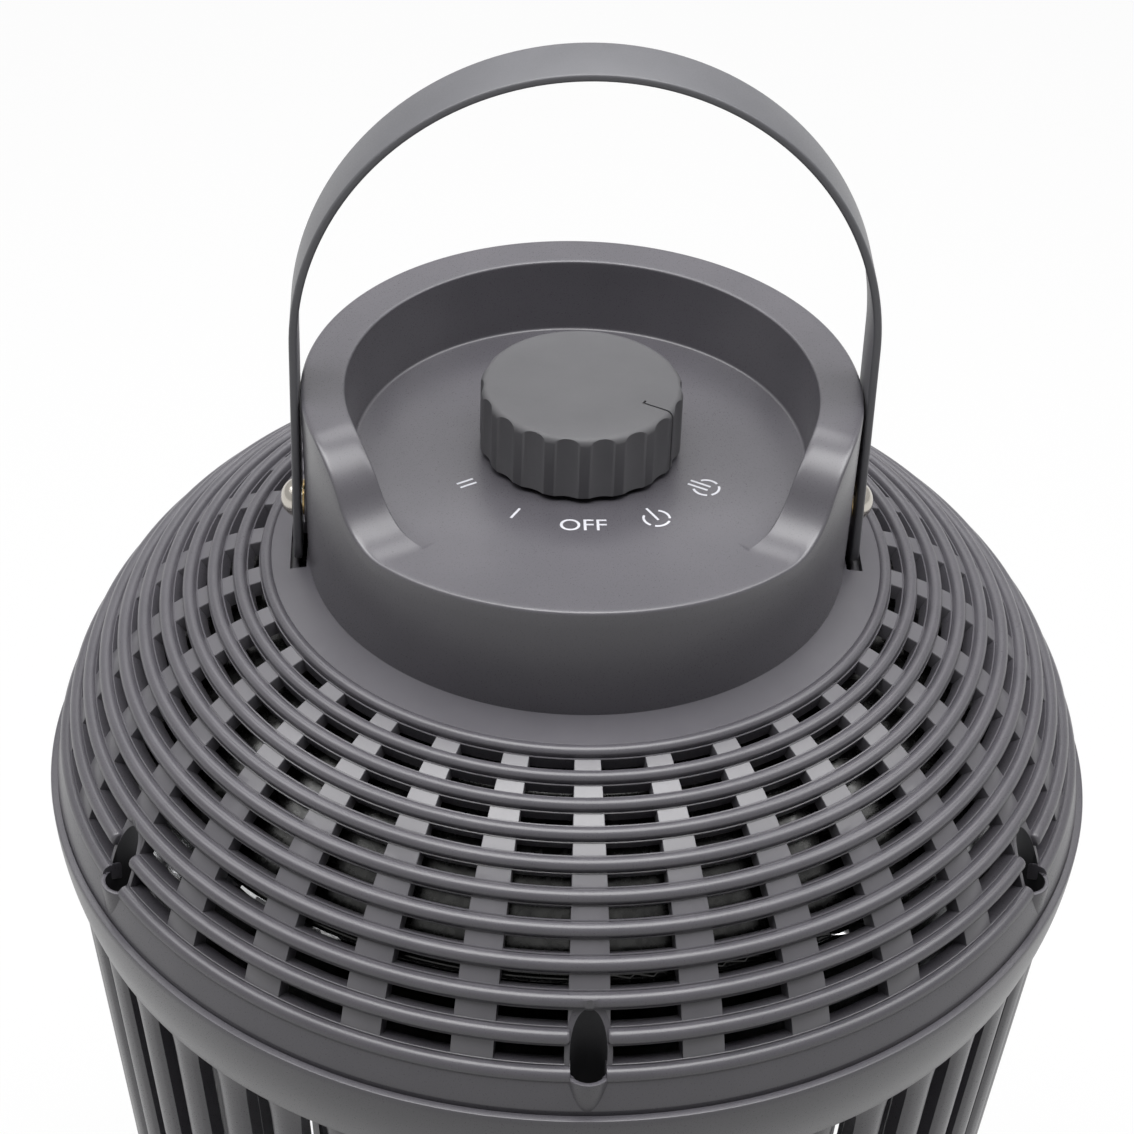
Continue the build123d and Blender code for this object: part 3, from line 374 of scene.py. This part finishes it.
quartz = quartz_glass()
slot_finish = {
    "body_plastic": moulding_crisp,
    "knob_plastic": knob_plastic,
    "handle_steel": handle_paint,
    "bright_screw": bright_metal,
    "brass": brass,
    "zinc_steel": zinc,
    "shield_sheet": shield_painted_dark,
    "reflector_sheet": mirror_sheet,
    "tube_metal": tube_metal,
    "quartz": quartz,
    "filament_wire": tungsten,
    "ceramic": ceramic,
    "foot_rubber": rubber,
    "switch_plastic": switch_plastic,
    "wire_cover": cover_plastic,
}
for row in frame["record"]["subparts"]:
    node = frame["nodes"][row["node"]]
    node.data.materials.clear()
    node.data.materials.append(slot_finish[row["material_slot"]])


def dress(piece, material, body, slot, *nodes):
    """Gives a piece its finish and the body it rides on, and hides the nodes it stands for; the slot
    argument is not used.
    """
    piece.data.materials.clear()
    piece.data.materials.append(material)
    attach(piece, body)
    if nodes:
        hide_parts(*nodes)
    return piece


# Dome


def bar_half_width(index):
    return 1.62 + 0.05 * index


def ring_section(index, segments=9):
    """A ring's section across the arc: body, two thin ledges at rib level and a round bar on top."""
    half = bar_half_width(index)
    ledge = 0.38
    gap = 0.13
    level = -ring_proud + 0.06
    low_level = level - 0.34
    soft_level = level - 0.3
    floor = -(ring_proud + rib_depth)
    low_edge = 0.3
    wide = half + gap + ledge
    local = [(-wide + low_edge, floor), (-wide, floor + low_edge)]
    local += [(-wide, level - 0.12), (-wide + 0.1, level), (-half - gap, level)]
    local += [(-half - gap * 0.6, low_level), (-half, soft_level)]
    rise = half * 0.96
    for k in range(segments + 1):
        turn = pi * k / segments
        local.append((-half * cos(turn), -rise + rise * sin(turn)))
    local += [(half, soft_level), (half + gap * 0.6, low_level)]
    local += [(half + gap, level), (wide - 0.1, level), (wide, level - 0.12)]
    local += [(wide, floor + low_edge), (wide - low_edge, floor)]
    turn = radians(ring_angle(index))
    section = []
    for along, out in local:
        r, z = arc_point(ring_angle(index), arc_radius + out)
        section.append((r - along * sin(turn), z + along * cos(turn)))
    return section


def arc_ring(section, start, sweep, segments, end_round):
    """Part of a ring whose two ends are rounded off over end_round degrees."""
    centre_r = sum(p[0] for p in section) / len(section)
    centre_z = sum(p[1] for p in section) / len(section)
    end_size = 0.65          # of the whole section
    shares = (0.0, 0.15, 0.4, 0.7, 1.0)
    rounding = [(share, sqrt(1 - (1 - share) ** 2) * (1 - end_size) + end_size) for share in shares]
    inner = sweep - 2 * end_round
    stations = [(start + end_round * share, scale) for share, scale in rounding]
    stations += [(start + end_round + inner * k / segments, 1.0) for k in range(1, segments)]
    stations += [(start + sweep - end_round * share, scale) for share, scale in reversed(rounding)]
    points = []
    for azimuth, scale in stations:
        c, s = cos(radians(azimuth)), sin(radians(azimuth))
        for r, z in section:
            rr = centre_r + (r - centre_r) * scale
            zz = centre_z + (z - centre_z) * scale
            points.append((rr * c, rr * s, zz))
    return points, capped_tube(len(stations), len(section))


def rib_part():
    """One rib along the arc, at azimuth 0, its top edges slightly rounded."""
    steps = 54
    first = ring_angle(ring_count - 1) - 1.0
    last = ring_angle(0)
    top = arc_radius - ring_proud
    half = rib_angle / 2
    profile = (
        (-1, -rib_depth), (-1, -0.35), (-0.985, -0.1), (-0.955, 0.0), (0, 0.0),
        (0.955, 0.0), (0.985, -0.1), (1, -0.35), (1, -rib_depth),
    )
    points = []
    for k in range(steps + 1):
        angle = first + (last - first) * k / steps
        for side, out in profile:
            r, z = arc_point(angle, top + out)
            turn = radians(half * side)
            points.append((r * cos(turn), r * sin(turn), z))
    return points, capped_tube(steps + 1, len(profile))


def well_top(radius, turn):
    """Height of a well's rim: level outside, along the ribs' surface further in."""
    distance = hypot(well_circle + radius * cos(turn), radius * sin(turn)) - arc_axis_radius
    reach = arc_radius - ring_proud + 0.1
    surface = arc_axis_height + sqrt(max(1.0, reach**2 - distance**2))
    return max(well_lip_height, surface)


def well_part():
    """The round boss of a screw well at the origin, +X outward."""
    around = 72
    low = well_floor_height - 2.0
    points = []
    for k in range(around):
        turn = 2 * pi * k / around
        outward = cos(turn)
        outer = well_boss_radius - 0.17 * outward
        foot = outer - well_boss_draft * max(0.0, outward)
        column = [
            (0.0, low), (well_radius + 0.8, low),
            (foot, well_foot_height), ((foot + outer) / 2, (well_foot_height + well_lip_height) / 2),
            (outer, well_lip_height - 0.4), (outer, well_top(outer, turn) - 0.3),
            (outer - 0.12, well_top(outer - 0.12, turn) - 0.06),
            (outer - 0.35, well_top(outer - 0.35, turn)),
            (well_radius + 0.25, well_top(well_radius + 0.25, turn)),
            (well_radius + 0.06, well_top(well_radius + 0.06, turn) - 0.06),
            (well_radius, well_top(well_radius, turn) - 0.25),
            (well_radius, well_floor_height), (0.0, well_floor_height),
        ]
        points += [(r * cos(turn), r * sin(turn), z) for r, z in column]
    return points, tube_faces(around, len(column))


def rod_part(radius, low, high, segments):
    return spin([(0.0, low), (radius, low), (radius, high), (0.0, high)], segments)


def bore(radius):
    bore_top = 362.0
    return rod_part(radius, well_floor_height, bore_top, 48)


well_pitch = 360.0 / well_count
well_azimuths = [FRONT + well_pitch * k for k in range(well_count)]
parted_ring_radius = 134.57
well_half_turn = degrees(asin(well_radius / parted_ring_radius))
notched = 8                  # the ring whose crest the wells bite, the two below it are parted
rings = []
for index in range(ring_count):
    section = ring_section(index)
    if index <= notched:
        rings.append(spin(section, 288))
        continue
    gap, end_round = (well_half_turn, 0.45) if index == notched + 1 else (well_half_turn - 0.1, 0.05)
    for azimuth in well_azimuths:
        rings.append(arc_ring(section, azimuth + gap, well_pitch - 2 * gap, 44, end_round))
notch_ring = make_piece("grille_notched_ring", *rings.pop(notched))
notch_shift = 0.45
notches = [at_azimuth(bore(well_radius), well_circle + notch_shift, a) for a in well_azimuths]
cut(notch_ring, notches)
grille_rings = make_piece("grille_rings", *join(rings))
rib_pitch = 360.0 / rib_count
ribs = [moved(rib_part(), turn=FRONT + rib_pitch * k) for k in range(rib_count)]
grille_ribs = make_piece("grille_ribs", *join(ribs))
bores = [at_azimuth(bore(well_radius + 0.02), well_circle, a) for a in well_azimuths]
cut(grille_ribs, bores)
grille_wells = make_piece(
    "grille_wells", *join([at_azimuth(well_part(), well_circle, a) for a in well_azimuths])
)

skin_radius = arc_radius - shoulder_sink
edge_angle = degrees(asin((parting_level + 0.5 - arc_axis_height) / skin_radius))
top_angle = ring_angle(ring_count - 1)
lining_radius = skin_radius - shoulder_wall
lining_angle = degrees(asin((parting_level - arc_axis_height) / lining_radius))
shoulder_section = [
    arc_point(edge_angle + (top_angle - edge_angle) * k / 14, skin_radius) for k in range(15)
]
shoulder_section += [
    arc_point(top_angle + (lining_angle - top_angle) * k / 6, lining_radius) for k in range(7)
]
edge_r = shoulder_section[0][0]
shoulder_section += [(edge_r - 0.6, parting_level), (edge_r - 0.15, parting_level + 0.12)]
grille_shoulder = make_piece("grille_shoulder", *spin(shoulder_section, 320))
cut(grille_shoulder, bores)
spigot_inner, spigot_outer = 136.4, 139.0
spigot_low, spigot_high = 318.0, 326.0
spigot_section = [
    (spigot_inner, spigot_low), (spigot_outer, spigot_low),
    (spigot_outer, spigot_high), (spigot_inner, spigot_high),
]
grille_spigot = make_piece("grille_spigot", *spin(spigot_section, 240))
cut(grille_spigot, bores)
ledge_inner = 72.6
ledge_low, ledge_high = 386.2, 388.6
ledge_section = [
    (ledge_inner, ledge_low), (81.0, ledge_low), (82.6, ledge_high), (ledge_inner, ledge_high)
]
deck_ledge = make_piece("grille_deck_ledge", *spin(ledge_section, 160))
grille = (
    grille_rings, notch_ring, grille_ribs, grille_wells, grille_shoulder, grille_spigot, deck_ledge
)
for piece in grille:
    dress(piece, moulding, "root", "body_plastic")
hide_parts("dome_grille")
# The ribs take the lighter copy of the moulding, which paints light on their tops.
grille_ribs.data.materials[0] = rib_plastic_painted_light
# The bore walls and floors, meaning faces within the well radius of each well's axis, get the
# near-black copy as painted shade in the bores.
grille_wells.data.materials.append(bore_painted_shade)
well_axes = [
    Vector((well_circle * cos(radians(a)), well_circle * sin(radians(a)))) * MM for a in well_azimuths
]
for face in grille_wells.data.polygons:
    if min((face.center.xy - axis).length for axis in well_axes) < (well_radius + 0.1) * MM:
        face.material_index = 1


# Cage: band, upright bars and lower ring

band_bulge = 0.9
band_edge = 0.45
band_section = []
for k in range(13):
    share = k / 12
    radius = band_bottom_radius + (band_top_radius - band_bottom_radius) * share
    height = band_bottom + band_edge + (parting_height - band_bottom - 2 * band_edge) * share
    band_section.append((radius + band_bulge * 4 * share * (1 - share), height))
top_r = band_section[-1][0]
low_r = band_section[0][0]
band_section += [(top_r - 0.15, parting_height - 0.12), (top_r - 0.5, parting_height)]
spigot_seat_radius = 139.15
seat_height = 317.4
band_inner = 128.4
band_section += [(spigot_seat_radius, parting_height), (spigot_seat_radius, seat_height)]
band_section += [(band_inner, seat_height), (band_inner, band_bottom)]
band_section += [(low_r - 0.6, band_bottom), (low_r - 0.15, band_bottom + 0.12)]
lower_ring_width = 9.1
lower_ring_inner = bar_radius(base_top) - lower_ring_width
lower_ring_section = round_corners([
    (bar_radius(base_top), base_top, 0.3), (bar_radius(lower_ring_top), lower_ring_top, 1.2),
    (lower_ring_inner, lower_ring_top, 0.8), (lower_ring_inner, base_top, 0.3),
])


def bar_part():
    """An upright bar with a crowned outer face; it grows out of the band over a hollow curve."""
    half = bar_width / 2
    depth = 6.5
    crown = 1.7
    edge = 0.8
    inset = 0.3
    flare_start, flare_length, flare_gain = 290.0, 11.1, 0.22
    points = []
    levels = [46.0, 54.0, 56.0, 120.0, 200.0, 280.0, 292.0, 296.0, 298.5, 300.2, 303.0]
    section = []
    for k in range(13):
        share = -1 + k / 6
        section.append((-crown * share**2 * 0.92 - (0.5 if abs(share) > 0.99 else 0.0), half * share))
    section += [(-depth + edge, half), (-depth, half - edge)]
    section += [(-depth, -half + edge), (-depth + edge, -half)]
    for level in levels:
        near = max(0.0, (level - flare_start) / flare_length)
        spread = 1.0 + flare_gain * min(1.0, near) ** 3
        for out, side in section:
            points.append((bar_radius(level) - inset + out, side * spread, level))
    return points, capped_tube(len(levels), len(section))


cage_parts = [spin(band_section, 288), spin(lower_ring_section, 240)]
bar_pitch = 360.0 / bar_count
cage_parts += [moved(bar_part(), turn=FRONT + bar_pitch * (k + 0.5)) for k in range(bar_count)]
cage = make_piece("cage", *join(cage_parts))
dress(cage, moulding, "root", "body_plastic", "guard_cage")


# Head

shoulder_turn = 2 * atan((head_top - panel_height) / 2 / shoulder_half_length)
curve_radius = shoulder_half_length / sin(shoulder_turn)


def step_height(t):
    """Height of the S-shaped fall of the rim, along the rim's tangent."""
    if t <= -shoulder_half_length:
        return panel_height
    if t >= shoulder_half_length:
        return head_top
    if t < 0:
        return panel_height + curve_radius - sqrt(curve_radius**2 - (t + shoulder_half_length) ** 2)
    return head_top - curve_radius + sqrt(curve_radius**2 - (t - shoulder_half_length) ** 2)


def rim_height(radius, azimuth):
    x, y = radius * cos(azimuth), radius * sin(azimuth)
    height = head_top
    turn = radians(shoulder_azimuth)
    for side in (-1, 1):
        outward = x * side * sin(turn) - y * cos(turn)
        if outward > 0:
            height = min(height, step_height(x * side * cos(turn) + y * sin(turn)))
    return height


def front_rise(radius, azimuth):
    """The panel climbs slightly towards the front lip."""
    lip_rise = 2.3
    rise_start = 30.0
    rise_length = 41.0
    ahead = -radius * sin(azimuth)
    return lip_rise * max(0.0, (ahead - rise_start) / rise_length) ** 2


def head_column(azimuth):
    """The head's closed section at an azimuth: outer foot, rim, bowl, panel, and back inside."""
    wall = 2.5
    outer_foot = head_base_radius
    rim_radius = 71.0
    rise = rim_height(rim_radius, azimuth) - deck_top
    outer_top = head_base_radius + head_taper * rise / head_height
    high = rim_height(outer_top, azimuth)
    inner_radius = bowl_floor_radius + (bowl_top_radius - bowl_floor_radius) * (
        rim_height(bowl_top_radius, azimuth) - panel_height
    ) / (head_top - panel_height)
    low = rim_height(inner_radius, azimuth)
    step = low - panel_height
    column = []
    edge = 1.0
    for k in range(9):
        share = k / 8
        z = deck_top + (high - edge - deck_top) * share
        column.append((outer_foot + head_taper * (z - deck_top) / head_height, z))
    for k in range(1, 6):
        turn = pi / 2 * k / 5
        radius = outer_top - edge + edge * cos(turn)
        column.append((radius, rim_height(radius, azimuth) - edge + edge * sin(turn)))
    lip = min(0.6, step * 0.45)              # rounding of the bowl's upper edge
    for k in range(1, 11):
        radius = outer_top - edge + (inner_radius + lip - outer_top + edge) * k / 10
        column.append((radius, rim_height(radius, azimuth)))
    for k in range(1, 6):
        turn = pi / 2 * k / 5
        radius = inner_radius + lip - lip * sin(turn)
        column.append((radius, rim_height(inner_radius, azimuth) - lip + lip * cos(turn)))
    cove = min(0.8, step * 0.45)             # rounding between the bowl's wall and the panel
    floor_radius = min(inner_radius, bowl_floor_radius)
    for share in (0.06, 0.5, 0.94):
        column.append((
            inner_radius + (floor_radius - inner_radius) * share,
            low - lip + (panel_height + cove - low + lip) * share,
        ))
    for k in range(6):
        turn = pi / 2 * k / 5
        radius = floor_radius - cove + cove * cos(turn)
        column.append((radius, panel_height + cove - cove * sin(turn)))
    for k in range(1, 13):
        radius = floor_radius - cove + (bush_radius - floor_radius + cove) * k / 12
        column.append((radius, panel_height))
    column += [(bush_radius, panel_height - wall), (floor_radius + wall, panel_height - wall)]
    column += [(inner_radius + wall, high - 3.4), (outer_top - 2.8, high - 3.6)]
    column.append((outer_foot - wall, deck_top))
    lifted = []
    for radius, z in column:
        share = min(1.0, max(0.0, (z - deck_top) / (panel_height - deck_top)))
        lifted.append((radius, z + front_rise(radius, azimuth) * share))
    return lifted


head_turns = 480
head_points = []
for k in range(head_turns):
    azimuth = 2 * pi * k / head_turns
    column = head_column(azimuth)
    head_points += [(r * cos(azimuth), r * sin(azimuth), z) for r, z in column]
head = make_piece("head_shell", head_points, tube_faces(head_turns, len(column)), sharp=50.0)
dress(head, head_plastic, "root", "body_plastic", "control_housing")


def side_disc(section, height, side):
    """A closed (radius, reach) section turned about the handle's axis, on the +X or -X side."""
    points, faces = spin(section, 48)
    return [(side * z, x, height + y) for x, y, z in points], faces


pad_radius = 6.5
pad_back, pad_front = 68.0, 70.81
pad_edge = 0.15
pad_section = [
    (0.0, pad_back), (pad_radius, pad_back), (pad_radius, pad_front - pad_edge),
    (pad_radius - pad_edge, pad_front), (0.0, pad_front),
]
pads = [side_disc(pad_section, pivot_height, side) for side in (-1, 1)]
dress(make_piece("pivot_pads", *join(pads)), head_plastic, "root", "body_plastic")


# Handle: a flat strip with soft edges and round ends

handle_middle = (handle_inner + handle_outer) / 2
leg_top = pivot_height + handle_leg


def handle_path():
    """Centre line and outward direction of the strip, from one end over the top to the other."""
    low = pivot_height - handle_end_drop
    leg = []
    for share in (0.0, 0.012, 0.03, 0.055, 0.085, 0.12, 0.22, 0.5, 0.8):
        leg.append(((handle_middle, low + (leg_top - low) * share), (1.0, 0.0)))
    path = list(leg)
    steps = 96
    for k in range(steps + 1):
        turn = pi * k / steps
        out = Vector((cos(turn) / handle_middle, sin(turn) / handle_arch)).normalized()
        path.append(
            ((handle_middle * cos(turn), leg_top + handle_arch * sin(turn)), (out.x, out.y))
        )
    path += [((-x, z), (-ox, oz)) for (x, z), (ox, oz) in reversed(leg)]
    return path


def handle_part():
    half = handle_width / 2
    thick = (handle_outer - handle_inner) / 2
    edge = 0.75
    section = round_corners(
        [(-half, -thick, edge), (half, -thick, edge), (half, thick, edge), (-half, thick, edge)]
    )
    low = pivot_height - handle_end_drop
    points = []
    path = handle_path()
    for (x, z), (ox, oz) in path:
        above = max(0.0, z - low)
        squeeze = 1.0
        if above < half:
            squeeze = max(0.02, sqrt(max(0.0, half**2 - (half - above) ** 2)) / half)
        for across, out in section:
            points.append((x + ox * out, across * squeeze, z + oz * out))
    return points, capped_tube(len(path), len(section))


handle = make_piece("handle_strip", *handle_part())
dress(handle, handle_paint, "handle", "handle_steel", "carry_handle")


# Knob: a rounded top edge, scallops down the side and a pointer groove over the edge

pointer_turn = 60.0
flute_count = 18
flute_azimuth = 10.0
flute_depth = 0.9
flute_radius = 7.6
knob_round = 1.9
groove_width = 0.55
groove_depth = 0.75
groove_start = 17.3
knob_hollow_radius = knob_radius - 3.6
knob_hollow_top = knob_top - 3.5

knob_section = [(0.0, knob_top), (12.0, knob_top), (knob_radius - knob_round - 0.3, knob_top)]
for k in range(11):
    turn = pi / 2 * k / 10
    radius = knob_radius - knob_round + knob_round * sin(turn)
    knob_section.append((radius, knob_top - knob_round + knob_round * cos(turn)))
knob_section += [(knob_radius, knob_top - knob_round - 0.3), (knob_radius, knob_bottom + 0.3)]
knob_section += [(knob_radius - 0.2, knob_bottom), (knob_hollow_radius, knob_bottom)]
knob_section += [(knob_hollow_radius, knob_hollow_top), (0.0, knob_hollow_top)]
knob = make_piece("knob_cap", *spin(knob_section, 360))


def box_part(x_span, y_span, z_span):
    points = [(x, y, z) for x in x_span for y in y_span for z in z_span]
    faces = [(0, 1, 3, 2), (4, 6, 7, 5), (0, 4, 5, 1), (2, 3, 7, 6), (0, 2, 6, 4), (1, 5, 7, 3)]
    return points, faces


below, above, outside = knob_bottom - 2, knob_top + 2, 30
scallop = rod_part(flute_radius, below, above, 96)
flute_circle = knob_radius - flute_depth + flute_radius
flute_turn = 360 / flute_count
cut(knob, [
    at_azimuth(scallop, flute_circle, FRONT + flute_azimuth + k * flute_turn)
    for k in range(flute_count)
])
half_groove = groove_width / 2
groove_floor = knob_top - groove_depth
groove_reach = knob_radius - flute_depth - groove_depth
pointer = [
    box_part((groove_start, outside), (-half_groove, half_groove), (groove_floor, above)),
    box_part((groove_reach, outside), (-half_groove, half_groove), (below, knob_top - 0.4)),
    box_part((groove_start, groove_start + groove_width), (0, 1.2), (groove_floor, knob_top + 1.8)),
]
for part in pointer:
    cut(knob, [moved(part, turn=FRONT + pointer_turn)])
for vertex in knob.data.vertices:
    vertex.co.y += knob_shift * MM
dress(knob, knob_plastic, "knob", "knob_plastic", "control_knob")


# Dial markings printed on the panel


def ribbon(path, width):
    """A flat printed line along a path of (x, y) points, just above the panel."""
    points = []
    low, high = panel_height + 0.01, panel_height + 0.05
    count = len(path)
    for i, (x, y) in enumerate(path):
        before, after = path[max(0, i - 1)], path[min(count - 1, i + 1)]
        along = Vector((after[0] - before[0], after[1] - before[1])).normalized()
        side = Vector((-along.y, along.x)) * width / 2
        for sx, sz in ((-1, low), (1, low), (1, high), (-1, high)):
            points.append((x + side.x * sx, y + side.y * sx, sz))
    return points, capped_tube(count, 4)


def mark_place(azimuth, inward, aside=0.0):
    """A point of the panel by its mark's azimuth from the front; inward is towards the knob."""
    turn = radians(azimuth + FRONT)
    out = mark_radius - inward
    return out * cos(turn) - aside * sin(turn), out * sin(turn) + aside * cos(turn) + knob_shift


mark_radius = 34.3
line_width = 0.62
marks = []
bars_and_rings = (
    (-60, (-0.9, 0.9), 2.9, -1.8, False),
    (-30, (0.0,), 2.35, -2.35, False),
    (30, (0.0,), 2.7, -2.9, True),
    (60, (-0.85, 0.85), 2.7, -2.9, True),
)
ring_centre = -2.1
ring_radius = 3.3
for azimuth, asides, near, far, power in bars_and_rings:
    for aside in asides:
        ends = [mark_place(azimuth, near, aside), mark_place(azimuth, far, aside)]
        marks.append(ribbon(ends, line_width))
    if power:
        for first in (-140.0, -40.0, 60.0):
            arc = []
            for k in range(11):
                turn = radians(first + 80.0 * k / 10)
                inward = ring_centre - ring_radius * cos(turn)
                arc.append(mark_place(azimuth, inward, ring_radius * sin(turn)))
            marks.append(ribbon(arc, line_width))
word = bpy.data.curves.new("dial_off", "FONT")
word.body = "OFF"
word.align_x = "CENTER"
word.align_y = "CENTER"
word.size = 6.6 * MM
word.extrude = 0.02 * MM
word_piece = link("dial_off", word)
word_piece.location = Vector((-0.35, knob_shift - mark_radius - 0.5, panel_height + 0.03)) * MM
word_piece.scale = (1.05, 1.0, 1.0)
bpy.context.view_layer.update()
word_shaped = word_piece.evaluated_get(bpy.context.evaluated_depsgraph_get())
word_mesh = bpy.data.meshes.new_from_object(word_shaped)
word_mesh.transform(word_piece.matrix_world)
bpy.data.objects.remove(word_piece)
dress(link("dial_word", word_mesh), mark_ink, "root", "body_plastic")
dress(make_piece("dial_marks", *join(marks)), mark_ink, "root", "body_plastic")


# Crumpled bright hem of the heat shield

chance = random.Random(7)
hem_points = []
hem_turns = 150
hem_radius = 119.4
hem_height = 350.6
hem_corners = ((119.0, 352.4), (120.9, 350.9), (119.6, 348.6), (117.8, 350.3))
crumple_out, crumple_up = 0.9, 1.1
flat_turn, fade_turn = 20.0, 12.0    # degrees to each side of the front
for k in range(hem_turns):
    turn = 2 * pi * k / hem_turns
    for r, z in hem_corners:
        aside = abs((degrees(turn) - FRONT + 180.0) % 360.0 - 180.0)
        full = min(1.0, max(0.12, (aside - flat_turn) / fade_turn))
        out = hem_radius + (r - hem_radius + chance.uniform(-crumple_out, crumple_out)) * full
        up = hem_height + (z - hem_height + chance.uniform(-crumple_up, crumple_up)) * full
        hem_points.append((out * cos(turn), out * sin(turn), up))
hem = make_piece("shield_hem", hem_points, tube_faces(hem_turns, 4), sharp=1.0)
dress(hem, foil, "root", "shield_sheet")


# Lamp filaments: a fine coil in each tube


def coil_part(x):
    points = []
    turns = 150
    around = 10
    thread = 0.16
    coil_radius = 1.3
    low, high = 84.0, 282.0
    steps = turns * around
    for k in range(steps + 1):
        turn = 2 * pi * k / around
        z = low + (high - low) * k / steps
        for j in range(4):
            spot = 2 * pi * j / 4
            r = coil_radius + thread * cos(spot)
            points.append((x + r * cos(turn), r * sin(turn), z + thread * sin(spot)))
    return points, tube_faces(steps + 1, 4, close_rows=False)


lamp_offset = 40.0
coils = make_piece("filament_coils", *join([coil_part(-lamp_offset), coil_part(lamp_offset)]))
dress(coils, tungsten, "root", "filament_wire", "filaments")


# Floor, lights and camera


def white_for_camera(name, colour, share):
    """A diffuse surface that the camera and reflections see as nearly white, with its shadow kept."""
    material, nodes, links, shader = new_material(name)
    place = nodes.new("ShaderNodeTexCoord").outputs["Object"]
    clouds = noise(nodes, links, place, 3.0, 2.0, 0.5)
    pale = nodes.new("ShaderNodeMix")
    pale.data_type = "RGBA"
    links.new(nodes.new("ShaderNodeLightPath").outputs["Is Camera Ray"], pale.inputs["Factor"])
    links.new(ramp(nodes, links, clouds, grey(colour), grey(colour + 0.02)), pale.inputs["A"])
    seen_low, seen_high = 0.93, 0.95
    links.new(ramp(nodes, links, clouds, grey(seen_low), grey(seen_high)), pale.inputs["B"])
    links.new(pale.outputs["Result"], shader.inputs["Base Color"])
    shader.inputs["Roughness"].default_value = 0.9
    shader.inputs["Specular IOR Level"].default_value = 0.1
    path = nodes.new("ShaderNodeLightPath")
    seen = nodes.new("ShaderNodeMath")
    seen.operation = "MAXIMUM"
    links.new(path.outputs["Is Camera Ray"], seen.inputs[0])
    both = nodes.new("ShaderNodeMath")
    both.operation = "MAXIMUM"
    links.new(path.outputs["Is Glossy Ray"], both.inputs[0])
    links.new(path.outputs["Is Transmission Ray"], both.inputs[1])
    links.new(both.outputs[0], seen.inputs[1])
    part = nodes.new("ShaderNodeMath")
    part.operation = "MULTIPLY"
    links.new(seen.outputs[0], part.inputs[0])
    part.inputs[1].default_value = share
    glow = nodes.new("ShaderNodeEmission")
    glow.inputs["Color"].default_value = (1, 1, 1, 1)
    glow.inputs["Strength"].default_value = 1.0
    blend = nodes.new("ShaderNodeMixShader")
    links.new(part.outputs[0], blend.inputs["Fac"])
    links.new(shader.outputs["BSDF"], blend.inputs[1])
    links.new(glow.outputs["Emission"], blend.inputs[2])
    links.new(blend.outputs["Shader"], nodes["Material Output"].inputs["Surface"])
    return material


floor_half = 6.0
floor_mesh = bpy.data.meshes.new("floor")
floor_mesh.from_pydata(
    [(x * floor_half, y * floor_half, 0) for x, y in ((-1, -1), (1, -1), (1, 1), (-1, 1))],
    [], [(0, 1, 2, 3)],
)
floor = link("floor", floor_mesh)
floor.data.materials.append(white_for_camera("floor_white", 0.24, 0.9))

glossy_share = 0.5
sky_light, sky_seen = 0.05, 1.0
world = bpy.data.worlds.new("studio")
scene.world = world
world.use_nodes = True
sky_nodes = world.node_tree.nodes
sky_links = world.node_tree.links
sky = sky_nodes["Background"]
light_path = sky_nodes.new("ShaderNodeLightPath")
seen_white = sky_nodes.new("ShaderNodeMath")
seen_white.operation = "MAXIMUM"
sky_links.new(light_path.outputs["Is Camera Ray"], seen_white.inputs[0])
sky_links.new(light_path.outputs["Is Transmission Ray"], seen_white.inputs[1])
dimmed = sky_nodes.new("ShaderNodeMath")
dimmed.operation = "MULTIPLY"
sky_links.new(light_path.outputs["Is Glossy Ray"], dimmed.inputs[0])
dimmed.inputs[1].default_value = glossy_share
seen_glossy = sky_nodes.new("ShaderNodeMath")
seen_glossy.operation = "MAXIMUM"
sky_links.new(seen_white.outputs[0], seen_glossy.inputs[0])
sky_links.new(dimmed.outputs[0], seen_glossy.inputs[1])
level = sky_nodes.new("ShaderNodeMapRange")
sky_links.new(seen_glossy.outputs[0], level.inputs["Value"])
level.inputs["To Min"].default_value = sky_light
level.inputs["To Max"].default_value = sky_seen
sky.inputs["Color"].default_value = (1.0, 1.0, 1.0, 1)
sky_links.new(level.outputs["Result"], sky.inputs["Strength"])


def softbox(name, place, target, size, power):
    lamp = bpy.data.lights.new(name, "AREA")
    lamp.shape = "RECTANGLE"
    lamp.size, lamp.size_y = size
    lamp.energy = power
    holder = bpy.data.objects.new(name, lamp)
    scene.collection.objects.link(holder)
    holder.location = place
    holder.rotation_euler = (Vector(target) - Vector(place)).to_track_quat("-Z", "Y").to_euler()
    return holder


middle = (0.0, 0.0, 0.36)
softbox("top_back", (0.0, 1.0, 1.75), middle, (1.6, 0.6), 8.0)
softbox("overhead", (0.0, -0.2, 1.9), middle, (1.2, 1.1), 23.5)
softbox("left_side", (-1.0, 0.05, 1.65), middle, (0.9, 0.9), 9.0)
softbox("right_side", (1.0, 0.05, 1.65), middle, (0.9, 0.9), 8.5)

camera_data = bpy.data.cameras.new("camera")
camera_data.lens = 102.0
camera_data.sensor_width = 36.0
camera_data.sensor_fit = "HORIZONTAL"
camera_data.clip_start = 0.01
camera = bpy.data.objects.new("camera", camera_data)
scene.collection.objects.link(camera)
yaw, pitch, roll = radians(3.14576), radians(36.83719), radians(2.16989)
ahead = Vector((sin(yaw) * cos(pitch), cos(yaw) * cos(pitch), -sin(pitch)))
right = Vector((cos(yaw), -sin(yaw), 0.0))
upward = right.cross(ahead)
turned_right = cos(roll) * right + sin(roll) * upward
turned_up = cos(roll) * upward - sin(roll) * right
rotation = Matrix((turned_right, turned_up, -ahead)).transposed()
camera.matrix_world = Matrix.Translation((-0.03948, -0.67813, 0.89421)) @ rotation.to_4x4()
scene.camera = camera

scene.view_settings.view_transform = "Standard"
